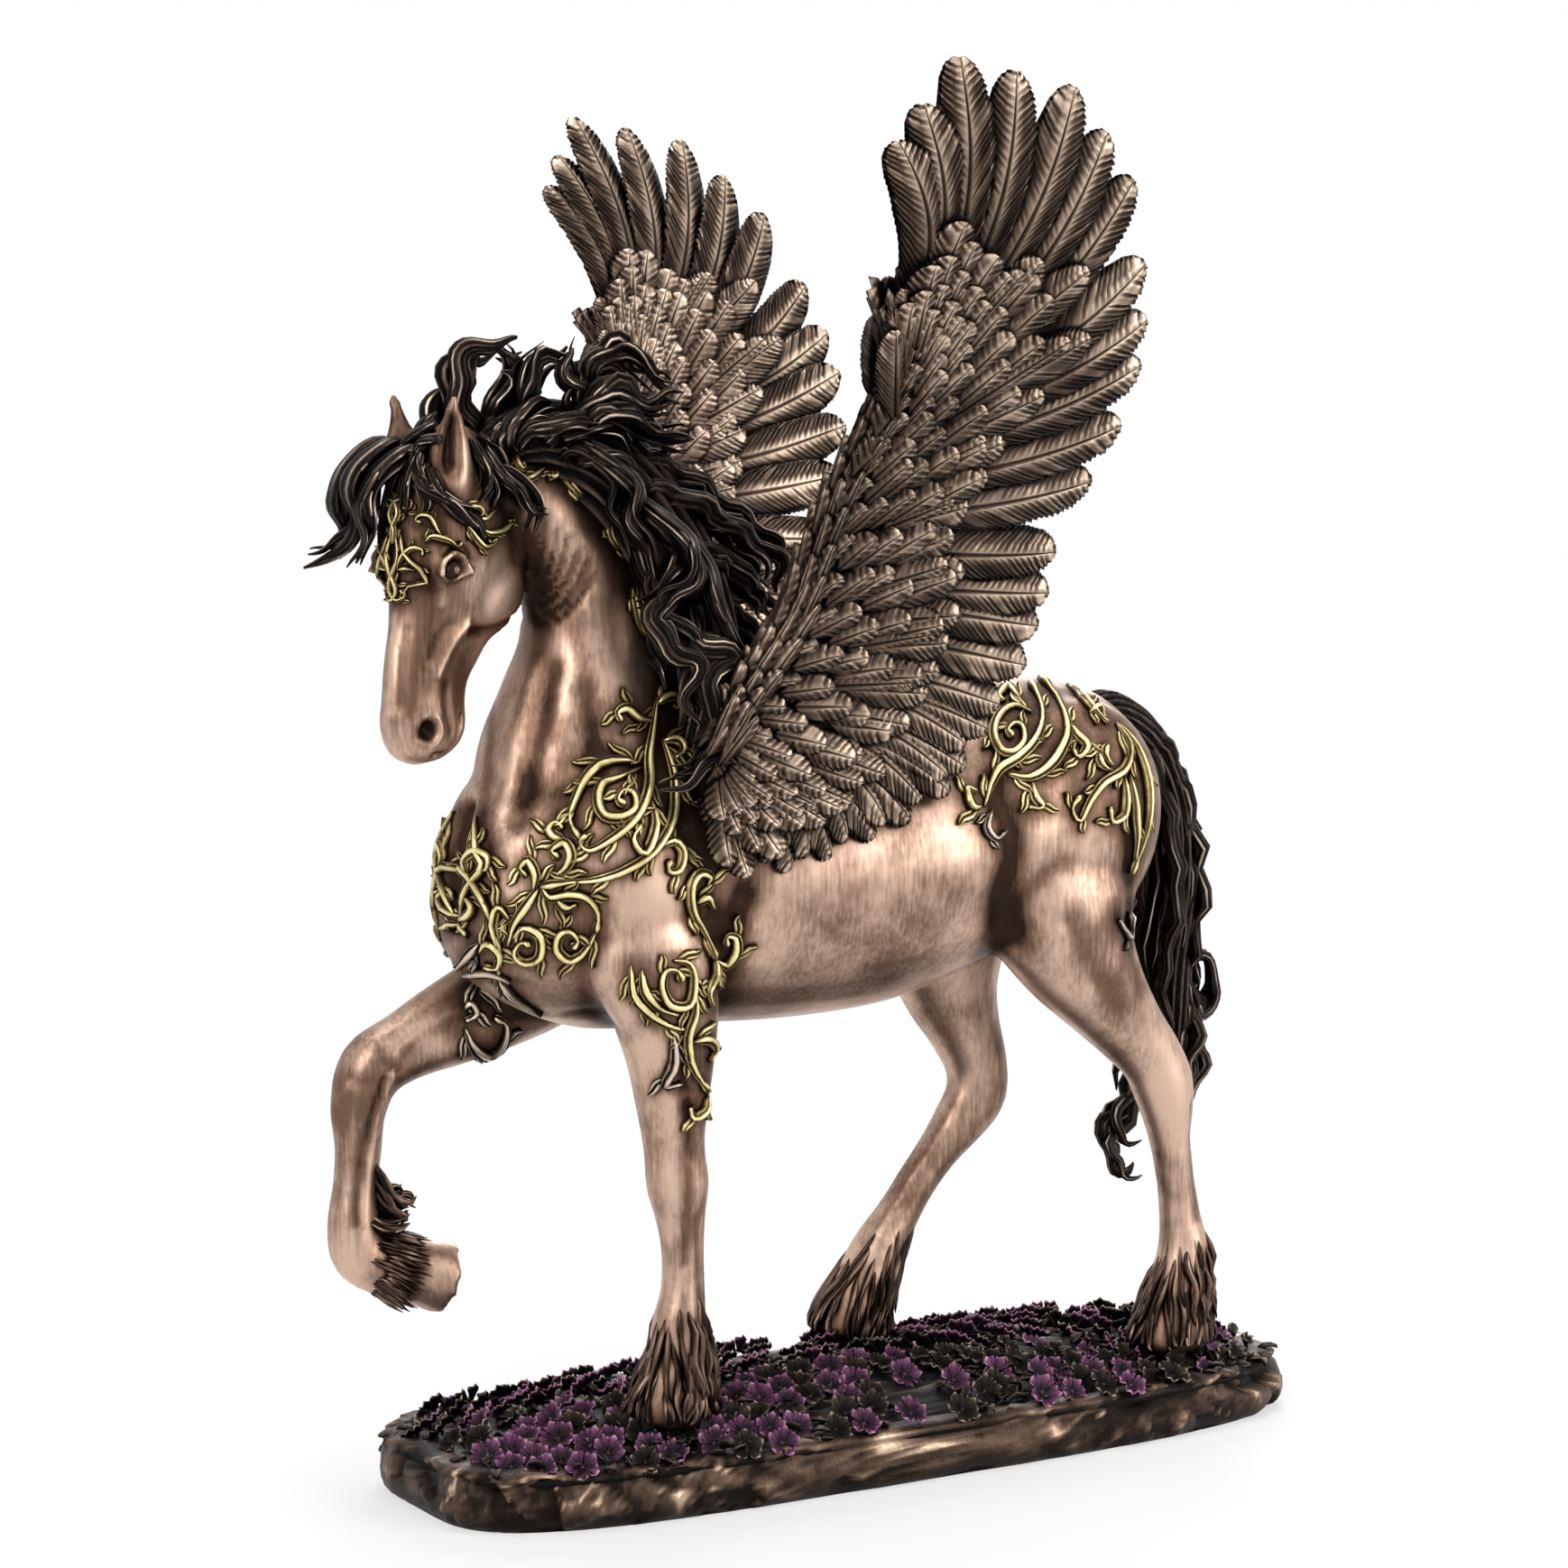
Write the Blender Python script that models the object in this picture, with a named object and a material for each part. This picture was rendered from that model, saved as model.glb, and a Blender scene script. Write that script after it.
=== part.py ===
"""A winged horse striding over a bed of flowers, cast with its rock base as one piece.

The horse walks towards -X with its right foreleg raised, +Z is up and -Y is its left side.
The origin is the middle of the base's flat underside. Lengths below are in millimetres.
"""

import math
import random

import bmesh
import bpy
from mathutils import Matrix, Vector
from mathutils.bvhtree import BVHTree
from mathutils.noise import noise

MM = 0.001

# Base
BASE_LENGTH = 215.0
BASE_WIDTH = 77.0
BASE_WALL = 12.0
BASE_CORNER = 3.2
ROCK_DEPTH = 1.6
MOUND_HEIGHT = 5.0
FLOOR_BAND = 0.6
BASE_SIDES = 44

# Flower bed
FLOWER_RADIUS = 6.0
FLOWER_RISE = 2.8
FLOWER_COLUMNS = 16
FLOWER_ROWS = 4
PETALS = 5
PETAL_NOTCH = 0.82

# Horse
BODY_Y = 2.0
BODY_WIDTH = 62.0
BODY_DEPTH = 69.0
BELLY_CLEARANCE = 80.0
LEG_SPREAD = 38.0
HOOF_RADIUS = 8.5
HEAD_TURN = 20.0
EAR_LENGTH = 20.0
LIMB_SIDES = 14
BODY_VOXEL = 1.5
BODY_TRIANGLES = 3000

# Wings
WING_LEAN = 22.0
WING_SPAN = 166.0
WING_CHORD = 70.0
WING_ROOT_X = -40.0
FAR_WING_SHARE = 0.95
WING_ARM_RADIUS = 5.0
FEATHER_EDGE = 0.5
FLIGHT_COUNT = 25
FLIGHT_WIDTH = 13.0
COVERT_COUNT = 19
COVERT_WIDTH = 12.0
SCALE_WIDTH = 9.0
FLIGHT_THICKNESS = 2.8
WING_BEND = 5.0
COVERT_THICKNESS = 5.0
SCALE_THICKNESS = 8.0

# Hair
LOCK_RADIUS = 3.6
TAIL_LOCK_RADIUS = 4.2
LOCK_SIDES = 5

# Raised scrollwork
SCROLL_RADIUS = 1.3
SCROLL_SIDES = 4

CASTING_TRIANGLES = 12400
GROUND = BASE_WALL + MOUND_HEIGHT
BODY_Z = GROUND + BELLY_CLEARANCE + BODY_DEPTH / 2
RANDOM_SEED = 7


def clear_scene():
    for obj in list(bpy.data.objects):
        bpy.data.objects.remove(obj)


def mesh_object(name, bm):
    """A new object from a bmesh in millimetres, with its faces turned outwards."""
    bmesh.ops.recalc_face_normals(bm, faces=bm.faces)
    bmesh.ops.triangulate(bm, faces=bm.faces)
    bm.transform(Matrix.Scale(MM, 4))
    mesh = bpy.data.meshes.new(name)
    bm.to_mesh(mesh)
    bm.free()
    obj = bpy.data.objects.new(name, mesh)
    bpy.context.scene.collection.objects.link(obj)
    return obj


def smooth_path(values, steps):
    """A Catmull-Rom curve through tuples of numbers, with the given steps between two of them."""
    points = [Vector(v) for v in values]
    padded = [2 * points[0] - points[1], *points, 2 * points[-1] - points[-2]]
    out = []
    for i in range(len(points) - 1):
        a, b, c, d = padded[i : i + 4]
        for k in range(steps):
            t = k / steps
            out.append(
                0.5 * (2 * b + (c - a) * t + (2 * a - 5 * b + 4 * c - d) * t**2
                       + (3 * b - a - 3 * c + d) * t**3)
            )
    out.append(points[-1])
    return out


def loft(rings):
    """A closed skin through rings of equally many points."""
    bm = bmesh.new()
    rows = [[bm.verts.new(p) for p in ring] for ring in rings]
    count = len(rows[0])
    for low, high in zip(rows, rows[1:]):
        for i in range(count):
            j = (i + 1) % count
            bm.faces.new((low[i], low[j], high[j], high[i]))
    bm.faces.new(rows[0][::-1])
    bm.faces.new(rows[-1])
    return bm


def limb(name, stations, sides=LIMB_SIDES, steps=2, level=(0, 1, 0)):
    """A round limb through (x, y, z, half depth, half width): its rings stand across its path.

    The width lies along the level direction, which the path never follows.
    """
    path = []
    for values in smooth_path_flat(stations, steps):
        path.append(values)
    rings = []
    for i, (x, y, z, depth, width) in enumerate(path):
        before = Vector(path[max(i - 1, 0)][:3])
        after = Vector(path[min(i + 1, len(path) - 1)][:3])
        along = (after - before).normalized()
        side = (Vector(level) - along * along.dot(Vector(level))).normalized()
        front = along.cross(side)
        centre = Vector((x, y, z))
        turns = [2 * math.pi * k / sides for k in range(sides)]
        rings.append(
            [centre + side * width * math.cos(a) + front * depth * math.sin(a) for a in turns]
        )
    return mesh_object(name, loft(rings))


def smooth_path_flat(stations, steps):
    """smooth_path for five numbers at a time."""
    places = smooth_path([s[:3] for s in stations], steps)
    sizes = smooth_path([(s[3], s[4], 0) for s in stations], steps)
    return [(p.x, p.y, p.z, max(r.x, 0.8), max(r.y, 0.8)) for p, r in zip(places, sizes)]


def ellipsoid(name, centre, radii, turn=0.0):
    """An egg-shaped muscle, turned about the Y axis by turn degrees."""
    bm = bmesh.new()
    bmesh.ops.create_icosphere(bm, subdivisions=3, radius=1.0)
    bm.transform(Matrix.Diagonal((*radii, 1)))
    bm.transform(Matrix.Rotation(math.radians(turn), 4, "Y"))
    bm.transform(Matrix.Translation(centre))
    return mesh_object(name, bm)


def evaluated_copy(obj):
    """The object's mesh with its modifiers applied, in place of the old one."""
    bpy.context.view_layer.update()
    graph = bpy.context.evaluated_depsgraph_get()
    mesh = bpy.data.meshes.new_from_object(obj.evaluated_get(graph))
    obj.modifiers.clear()
    obj.data = mesh
    return obj


def thinned(obj, goal):
    """The object with its flattest places joined until the goal of triangles is met."""
    present = sum(len(face.vertices) - 2 for face in obj.data.polygons)
    thin = obj.modifiers.new("thin", "DECIMATE")
    thin.ratio = min(1.0, goal / present)
    thin.use_collapse_triangulate = True
    return evaluated_copy(obj)


def united(core, pieces):
    """Boolean union of a core and every piece. The pieces are used up."""
    group = bpy.data.collections.new("pieces")
    for piece in pieces:
        group.objects.link(piece)
    union = core.modifiers.new("union", "BOOLEAN")
    union.operation = "UNION"
    union.solver = "EXACT"
    union.operand_type = "COLLECTION"
    union.collection = group
    evaluated_copy(core)
    for piece in pieces:
        bpy.data.objects.remove(piece)
    bpy.data.collections.remove(group)
    return core


def flat_underside(obj):
    """Brings every corner near the floor exactly onto it."""
    for vert in obj.data.vertices:
        if vert.co.z < FLOOR_BAND * MM:
            vert.co.z = 0.0
    return obj


def without_bubbles(obj):
    """Fills the small bubbles that crossing locks and feathers leave inside the casting."""
    bm = bmesh.new()
    bm.from_mesh(obj.data)
    shells = []
    left = set(bm.faces)
    while left:
        stack = [left.pop()]
        shell = []
        while stack:
            face = stack.pop()
            shell.append(face)
            near = {other for edge in face.edges for other in edge.link_faces} & left
            left -= near
            stack.extend(near)
        shells.append(shell)
    shells.sort(key=len)
    for shell in shells[:-1]:
        bmesh.ops.delete(bm, geom=shell, context="FACES")
    bm.to_mesh(obj.data)
    bm.free()
    return obj


# The horse


def torso_parts():
    """The barrel from breast to buttocks, as (x, centre height, half height, half width)."""
    half = BODY_DEPTH / 2
    wide = BODY_WIDTH / 2
    stations = [
        (-92.5, 8, 0.24, 0.26),
        (-88, 7, 0.56, 0.52),
        (-79, 4, 0.84, 0.72),
        (-64, 2.5, 1.02, 0.86),
        (-45, 2.5, 1.04, 0.92),
        (-20, 0, 1.0, 0.98),
        (5, 0, 0.96, 1.0),
        (25, 4, 0.88, 0.97),
        (43, 8, 0.87, 0.94),
        (58, 10, 0.76, 0.86),
        (70, 11, 0.56, 0.66),
        (77, 12, 0.28, 0.36),
    ]
    rows = [(x, BODY_Y, BODY_Z + z, h * half, w * wide) for x, z, h, w in stations]
    return [limb("torso", rows, sides=20)]


def neck_part():
    """The arched neck, from inside the chest to the poll."""
    rise = BODY_Z - 131.5
    stations = [
        (-56, 138, 33, 24),
        (-60, 156, 28, 20.5),
        (-60.5, 171, 21.5, 16.5),
        (-61.5, 185, 15.5, 13.5),
        (-66.5, 199, 13, 12),
        (-76, 208, 12.5, 11),
        (-87, 212, 12, 10),
    ]
    rows = [(x, BODY_Y, z + rise, d, w) for x, z, d, w in stations]
    return limb("neck", rows)


def head_parts():
    """The head hangs from the poll, and is turned to the horse's left at the end."""
    rise = BODY_Z - 131.5
    skull = [
        (-93.5, 227, 3.5, 3.5),
        (-95.5, 221, 11, 7.5),
        (-96.5, 211, 15, 10),
        (-96.5, 201, 16.5, 10.5),
        (-98, 193, 15.5, 9),
        (-101, 185, 12.5, 7.6),
        (-104, 178, 11, 6.6),
        (-105, 171, 10.4, 6.6),
        (-105, 166, 10.4, 7.2),
        (-104.5, 161.5, 8.4, 6.2),
        (-104, 159, 4, 3.4),
    ]
    rows = [(x, BODY_Y, z + rise, d, w) for x, z, d, w in skull]
    parts = [limb("skull", rows)]
    for side in (-1, 1):
        ear_x, ear_z = -101.5, 214 + rise
        ear = [
            (ear_x + 1, BODY_Y + side * 7, ear_z - 4, 3, 3),
            (ear_x, BODY_Y + side * 8, ear_z + EAR_LENGTH * 0.2, 4.2, 3.2),
            (ear_x - 1, BODY_Y + side * 9, ear_z + EAR_LENGTH * 0.55, 3.6, 2.6),
            (ear_x - 2, BODY_Y + side * 9, ear_z + EAR_LENGTH, 0.9, 0.9),
        ]
        parts.append(limb("ear", ear, sides=8))
        parts.append(
            ellipsoid("cheek", (-90, BODY_Y + side * 4.5, 194 + rise), (9.5, 5, 10))
        )
        parts.append(
            ellipsoid("brow", (-106, BODY_Y + side * 7.5, 199.5 + rise), (4.5, 3.6, 4.5))
        )
        parts.append(
            ellipsoid("nostril", (-108.5, BODY_Y + side * 4, 167 + rise), (3.8, 2.8, 3.8))
        )
    turn = (
        Matrix.Translation((-84 * MM, BODY_Y * MM, 0))
        @ Matrix.Rotation(math.radians(HEAD_TURN), 4, "Z")
        @ Matrix.Translation((84 * MM, -BODY_Y * MM, 0))
    )
    for part in parts:
        part.data.transform(turn)
    return parts


def standing_leg(name, stations, side):
    """A leg whose hoof stands in the flower bed. Heights are above the ground."""
    reach = LEG_SPREAD / 2
    rows = [
        (x, BODY_Y + side * (reach + out), GROUND + z, depth, width)
        for x, out, z, depth, width in stations
    ]
    return limb(name, rows)


def left_foreleg():
    hoof = HOOF_RADIUS
    return standing_leg(
        "left_foreleg",
        [
            (-54, 0, -2, hoof, hoof * 0.9),
            (-53, 0, 4, hoof * 0.94, hoof * 0.86),
            (-51.5, 0, 12, 6.6, 6.2),
            (-51, 0, 19, 6.2, 5.8),
            (-50, 0, 27, 5, 4.6),
            (-50, 0, 35, 4.8, 4.3),
            (-50.5, 0, 43, 5.6, 5),
            (-51.2, 0, 50, 7, 6.2),
            (-52, 0, 58, 6.7, 6.2),
            (-53, 1, 68, 8, 7.4),
            (-54, 2, 80, 10.2, 9),
            (-56, 2, 92, 13, 10.5),
            (-59, 0, 103, 15, 10.5),
            (-61, -4, 116, 13, 8),
        ],
        -1,
    )


def right_foreleg():
    """The raised leg: forearm forwards, cannon down, hoof folded back."""
    hoof = HOOF_RADIUS
    reach = LEG_SPREAD / 2
    drop = BODY_Z - 131.5
    stations = [
        (-50, -5, 118, 12, 8),
        (-62, -1, 109, 12.5, 9.5),
        (-75, 0.5, 102.5, 11, 9),
        (-88, 0, 98, 9.2, 7.8),
        (-97, 0, 94.5, 7.6, 7),
        (-104.5, 0, 90.5, 7.4, 6.6),
        (-107.5, 0, 82, 6.2, 5.6),
        (-107.5, 0, 74, 5.2, 4.8),
        (-108.5, 0, 65, 5, 4.6),
        (-109, 0, 57.5, 5.8, 5.2),
        (-107.5, 0, 51, 6.4, 5.8),
        (-102.5, 0, 47.5, 6.2, 5.8),
        (-97, 0, 46, 6.8, 6.4),
        (-92.5, 0, 45, 7.6, 7.2),
        (-87.5, 0, 43.5, hoof, hoof),
    ]
    rows = [(x, BODY_Y + reach + out, z + drop, d, w) for x, out, z, d, w in stations]
    return limb("right_foreleg", rows)


def left_hind_leg():
    hoof = HOOF_RADIUS
    return standing_leg(
        "left_hind_leg",
        [
            (75, 0, -2, hoof, hoof * 0.9),
            (76, 0, 5, hoof * 0.92, hoof * 0.86),
            (78, 0, 13, 6.8, 6.2),
            (79.5, 0, 20, 6.3, 5.8),
            (78.5, 0, 28, 5, 4.6),
            (77, 0, 38, 4.6, 4.3),
            (75.5, 0, 47, 5.1, 4.7),
            (74.5, 0, 54, 6.6, 5.5),
            (73, 0, 60, 7.6, 6),
            (70, 0, 66, 7.6, 6.2),
            (64, 0, 73, 8.6, 7.2),
            (56, 1, 82, 11, 8.8),
            (49, 1, 92, 15, 10.5),
            (45, 0, 103, 20, 12),
            (44, -3, 116, 22, 11),
            (46, -6, 128, 18, 9),
        ],
        -1,
    )


def right_hind_leg():
    hoof = HOOF_RADIUS
    return standing_leg(
        "right_hind_leg",
        [
            (14, 2, 0, hoof, hoof * 0.9),
            (16, 2, 7, hoof * 0.92, hoof * 0.86),
            (19.5, 2, 14, 6.8, 6.2),
            (23, 2, 20, 6.3, 5.8),
            (28, 2, 27, 5.2, 4.8),
            (33, 2, 34, 4.9, 4.5),
            (39, 2, 41, 5.2, 4.8),
            (44.5, 2, 47, 6.6, 5.4),
            (49, 2, 53, 7.6, 5.8),
            (49, 2, 60, 7.6, 6.2),
            (45.5, 2, 69, 9, 7.6),
            (42, 2, 78, 12, 9.4),
            (40, 1, 89, 16, 11),
            (42, 0, 101, 20, 12),
            (45, -3, 115, 21, 11),
            (46, -6, 128, 18, 9),
        ],
        1,
    )


def fetlock_hair():
    """Hair that falls from each standing fetlock over the hoof, and flies behind the raised one."""
    parts = []
    for x, out, lean, side in ((-50.5, 0, 0, -1), (77.5, 0, 1, -1), (17, 2, 9, 1)):
        y = BODY_Y + side * (LEG_SPREAD / 2 + out)
        rows = [
            (x + lean, y, GROUND + 25, 4.2, 3.8),
            (x + 1 + lean * 0.75, y, GROUND + 18, 7, 6.6),
            (x + 2 + lean * 0.35, y, GROUND + 10, 8.6, 8),
            (x + 2.5, y, GROUND + 3, HOOF_RADIUS * 1.15, HOOF_RADIUS * 1.05),
            (x + 2.5, y, GROUND - 2, HOOF_RADIUS, HOOF_RADIUS * 0.9),
        ]
        parts.append(limb("fetlock_hair", rows, sides=10))
    y = BODY_Y + LEG_SPREAD / 2
    rise = BODY_Z - 131.5
    tufts = [
        [(-108, 64), (-101, 61), (-95, 62), (-90, 67)],
        [(-106, 54), (-99, 53), (-94, 54), (-89, 58)],
    ]
    for tuft in tufts:
        parts.append(lock("fetlock_tuft", [(x, y, z + rise) for x, z in tuft], LOCK_RADIUS))
    return parts


def muscle_parts():
    """Shoulders, haunches and breast, which round the joins of legs and body."""
    rise = BODY_Z - 131.5
    wide = BODY_WIDTH / 2
    parts = []
    for side in (-1, 1):
        out = side * wide
        parts += [
            ellipsoid("shoulder", (-62, BODY_Y + out * 0.55, 134 + rise), (17, 13, 25), -20),
            ellipsoid("haunch", (49, BODY_Y + out * 0.52, 138 + rise), (23, 14, 27), 12),
            ellipsoid("breast", (-81, BODY_Y + out * 0.3, 133 + rise), (11, 10, 17), 15),
        ]
    return parts


def horse_body():
    """All of the horse's flesh, melted into one skin and thinned to few faces."""
    parts = [
        *torso_parts(), neck_part(), *head_parts(), *muscle_parts(),
        left_foreleg(), right_foreleg(), left_hind_leg(), right_hind_leg(),
    ]
    merged = bmesh.new()
    for part in parts:
        merged.from_mesh(part.data)
        bpy.data.objects.remove(part)
    mesh = bpy.data.meshes.new("horse")
    merged.to_mesh(mesh)
    merged.free()
    horse = bpy.data.objects.new("horse", mesh)
    bpy.context.scene.collection.objects.link(horse)
    skin = horse.modifiers.new("skin", "REMESH")
    skin.mode = "VOXEL"
    skin.voxel_size = BODY_VOXEL * MM
    soften = horse.modifiers.new("soften", "SMOOTH")
    soften.factor = 0.5
    soften.iterations = 6
    evaluated_copy(horse)
    return thinned(horse, BODY_TRIANGLES)


# Base and flower bed


def base_outline(angle, inset=0.0):
    """A point on the rounded rectangle of the base."""
    power = 0.52
    cos, sin = math.cos(angle), math.sin(angle)
    x = math.copysign(abs(cos) ** power, cos) * (BASE_LENGTH / 2 - inset)
    y = math.copysign(abs(sin) ** power, sin) * (BASE_WIDTH / 2 - inset)
    return Vector((x, y, 0))


def mound(x, y):
    """Height of the earth under the flowers."""
    across = min(1.0, (2 * x / BASE_LENGTH) ** 2 + (2 * y / BASE_WIDTH) ** 2)
    return BASE_WALL + MOUND_HEIGHT * (1 - across)


def rock_base():
    """A slab with a flat underside, knocked rocky edges and a low mound on top."""
    turns = [2 * math.pi * k / BASE_SIDES for k in range(BASE_SIDES)]
    levels = [
        (0, BASE_CORNER, 0),
        (BASE_CORNER, 0, 1),
        (BASE_WALL * 0.65, 0.6, 1),
        (BASE_WALL, BASE_CORNER * 0.8, 0.6),
    ]
    rings = []
    for z, inset, rough in levels:
        ring = []
        for turn in turns:
            point = base_outline(turn, inset)
            point.z = z
            knock = noise(point * 0.09) * ROCK_DEPTH * rough
            ring.append(point + point.normalized() * Vector((knock, knock, 0)).x)
        rings.append(ring)
    for share in (0.72, 0.4):
        ring = []
        for turn in turns:
            point = base_outline(turn) * share
            point.z = mound(point.x, point.y)
            ring.append(point)
        rings.append(ring)
    return mesh_object("rock", loft(rings))


def flower(name, centre, radius, tilt, spin):
    """A five-petalled blossom: a notched dish on a pointed stalk."""
    bm = bmesh.new()
    heart = bm.verts.new((0, 0, FLOWER_RISE * 0.45))
    root = bm.verts.new((0, 0, -FLOWER_RISE * 1.6))
    rim = []
    for k in range(2 * PETALS):
        reach = radius if k % 2 == 0 else radius * PETAL_NOTCH
        lift = FLOWER_RISE if k % 2 == 0 else FLOWER_RISE * 0.6
        angle = math.pi * k / PETALS
        rim.append(bm.verts.new((reach * math.cos(angle), reach * math.sin(angle), lift)))
    for k in range(len(rim)):
        bm.faces.new((rim[k], rim[(k + 1) % len(rim)], heart))
        bm.faces.new((rim[(k + 1) % len(rim)], rim[k], root))
    turn = Matrix.Rotation(tilt, 4, "X") @ Matrix.Rotation(spin, 4, "Z")
    bm.transform(Matrix.Translation(centre) @ turn)
    return mesh_object(name, bm)


def flower_bed(rng):
    flowers = []
    for row in range(FLOWER_ROWS):
        for column in range(FLOWER_COLUMNS):
            across = (row + 0.5) / FLOWER_ROWS * 2 - 1
            along = (column + 0.25 + 0.5 * (row % 2)) / FLOWER_COLUMNS * 2 - 1
            x = along * (BASE_LENGTH / 2 - FLOWER_RADIUS) + rng.uniform(-1.5, 1.5)
            reach = math.sqrt(max(0.0, 1 - abs(along) ** 3))
            y = across * reach * (BASE_WIDTH / 2 - FLOWER_RADIUS * 0.4) + rng.uniform(-1, 1)
            centre = Vector((x, y, mound(x, y) + rng.uniform(-0.4, 0.8)))
            size = FLOWER_RADIUS * rng.uniform(0.85, 1.12)
            flowers.append(
                flower("flower", centre, size, rng.uniform(-0.35, 0.35), rng.uniform(0, 6))
            )
    return flowers


# Wings


def wing_point(x, h, lift, side):
    """A place on the wing: h runs up the wing from its root, lift stands off its middle sheet.

    Low down the sheet lies on the horse's flank, and above it leans outwards.
    """
    lean = math.radians(WING_LEAN)
    flank = BODY_WIDTH / 2 - 0.5
    leaning = BODY_WIDTH / 2 - 7 + h * math.sin(lean)
    blend = 6.0
    out = blend * math.log(math.exp(flank / blend) + math.exp(leaning / blend)) - blend * 0.3
    if side > 0 and h > 0:
        h *= FAR_WING_SHARE
    z = BODY_Z + 18.5 + h * math.cos(lean)
    normal = Vector((0, math.cos(lean), -math.sin(lean)))
    if h < 0:
        normal = Vector((0, 1, 0))
    if side > 0:
        x = WING_ROOT_X + (x - WING_ROOT_X) * FAR_WING_SHARE
    point = Vector((x, out, z)) + normal * lift
    return Vector((point.x, BODY_Y + side * point.y, point.z))


# Along a feather from quill to tip: share of the length, share of the width.
LONG_FEATHER = [(0, 0.5), (0.3, 0.8), (0.72, 1.0), (0.92, 0.8), (1.0, 0.34)]
SHORT_FEATHER = [(0, 0.6), (0.5, 1.0), (0.84, 0.86), (1.0, 0.36)]


def feather(name, base, tip, width, thickness, bend, side, form=LONG_FEATHER, level=0.0):
    """A leaf-shaped feather from base to tip, both (x, h), ridged along its quill on both faces.

    Its middle lies at the given level off the wing's middle sheet.
    """
    start, end = Vector(base), Vector(tip)
    run = end - start
    across = Vector((-run.y, run.x)).normalized()
    rings = []
    for t, share in form:
        middle = start + run * t + across * bend * math.sin(math.pi * t)
        half = width / 2 * share
        thick = thickness / 2 * (1 - 0.5 * t)
        left, right = middle + across * half, middle - across * half
        rim = thick * FEATHER_EDGE
        rings.append(
            [
                wing_point(left.x, left.y, level + rim, side),
                wing_point(middle.x, middle.y, level + thick, side),
                wing_point(right.x, right.y, level + rim, side),
                wing_point(right.x, right.y, level - rim, side),
                wing_point(middle.x, middle.y, level - thick, side),
                wing_point(left.x, left.y, level - rim, side),
            ]
        )
    return mesh_object(name, loft(rings))


# Stations along the wing, from the first flight feather at the wrist round to the breast.
# Each names a place on the arm, the tip of the longest covert and the tip of the flight feather,
# as shares of the chord behind the root and of the span above it.
WING_FAN = [
    ((0.25, 0.62), (0.30, 0.68), (0.11, 0.87)),
    ((0.28, 0.59), (0.44, 0.70), (0.26, 0.98)),
    ((0.28, 0.56), (0.62, 0.72), (0.66, 0.95)),
    ((0.27, 0.52), (0.82, 0.71), (0.90, 0.85)),
    ((0.23, 0.47), (0.86, 0.62), (1.09, 0.65)),
    ((0.18, 0.41), (0.66, 0.47), (1.10, 0.50)),
    ((0.14, 0.33), (0.58, 0.36), (0.97, 0.33)),
    ((0.10, 0.24), (0.62, 0.25), (0.94, 0.19)),
    ((0.02, 0.17), (0.57, 0.14), (0.83, 0.075)),
    ((-0.07, 0.11), (0.43, 0.02), (0.57, -0.05)),
    ((-0.11, 0.07), (0.20, -0.02), (0.28, -0.09)),
    ((-0.13, 0.055), (0.0, -0.035), (-0.02, -0.09)),
    ((-0.15, 0.045), (-0.15, -0.02), (-0.18, -0.055)),
]


def fan_curve(column, count):
    """One column of the fan as a smooth curve of (x, h), with count evenly numbered places."""
    steps = 6
    spots = [station[column] for station in WING_FAN]
    fine = smooth_path([(x * WING_CHORD + WING_ROOT_X, h * WING_SPAN, 0) for x, h in spots], steps)
    out = []
    for i in range(count):
        place = i * (len(fine) - 1) / (count - 1)
        k = min(int(place), len(fine) - 2)
        out.append(fine[k].lerp(fine[k + 1], place - k).to_2d())
    return out


# Rows of short feathers: start and end as shares of the way from arm to longest covert, and the
# level of their edges off the wing's middle sheet.
COVERT_ROW = (0.2, 1.0, 0.2)
MEDIAN_ROW = (0.0, 0.68, -0.15)
SCALE_ROW = (-0.14, 0.36, 0.35)


def covert_row(row, width, thickness, side):
    """One overlapping row of short feathers behind the arm."""
    start, end, level = row
    feathers = []
    for root, tip in zip(fan_curve(0, COVERT_COUNT), fan_curve(1, COVERT_COUNT)):
        feathers.append(
            feather("covert", root.lerp(tip, start), root.lerp(tip, end), width, thickness, 0,
                    side, SHORT_FEATHER, level)
        )
    return feathers


def wing_feathers(side):
    """Flight feathers under three overlapping rows of coverts."""
    parts = []
    arm, coverts, tips = (fan_curve(column, FLIGHT_COUNT) for column in range(3))
    for i, (root, covert, tip) in enumerate(zip(arm, coverts, tips)):
        bend = WING_BEND * math.cos(math.pi * i / (FLIGHT_COUNT - 1))
        parts.append(
            feather("flight", root.lerp(covert, 0.35), tip, FLIGHT_WIDTH, FLIGHT_THICKNESS,
                    -bend, side)
        )
    middle = (COVERT_THICKNESS + SCALE_THICKNESS) / 2
    parts += covert_row(COVERT_ROW, COVERT_WIDTH, COVERT_THICKNESS, side)
    parts += covert_row(MEDIAN_ROW, (COVERT_WIDTH + SCALE_WIDTH) / 2, middle, side)
    parts += covert_row(SCALE_ROW, SCALE_WIDTH, SCALE_THICKNESS, side)
    return parts


def wing_arm(side):
    """The thick leading edge, from inside the shoulder up to the wrist."""
    spots = fan_curve(0, 14)[1:]
    rows = []
    for i, spot in enumerate(reversed(spots)):
        share = i / (len(spots) - 1)
        centre = wing_point(spot.x, spot.y, -1.0, side)
        radius = WING_ARM_RADIUS * (1.2 - 0.6 * share)
        rows.append((*centre, radius, radius * 0.85))
    return limb("wing_arm", rows, sides=8, steps=1)


def wing_root(side):
    """Flesh that joins the wing to the withers."""
    rise = BODY_Z - 131.5
    return ellipsoid(
        "wing_root",
        (-26, BODY_Y + side * (BODY_WIDTH / 2 - 9), 150 + rise),
        (24, 10, 20),
        -12,
    )


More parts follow.
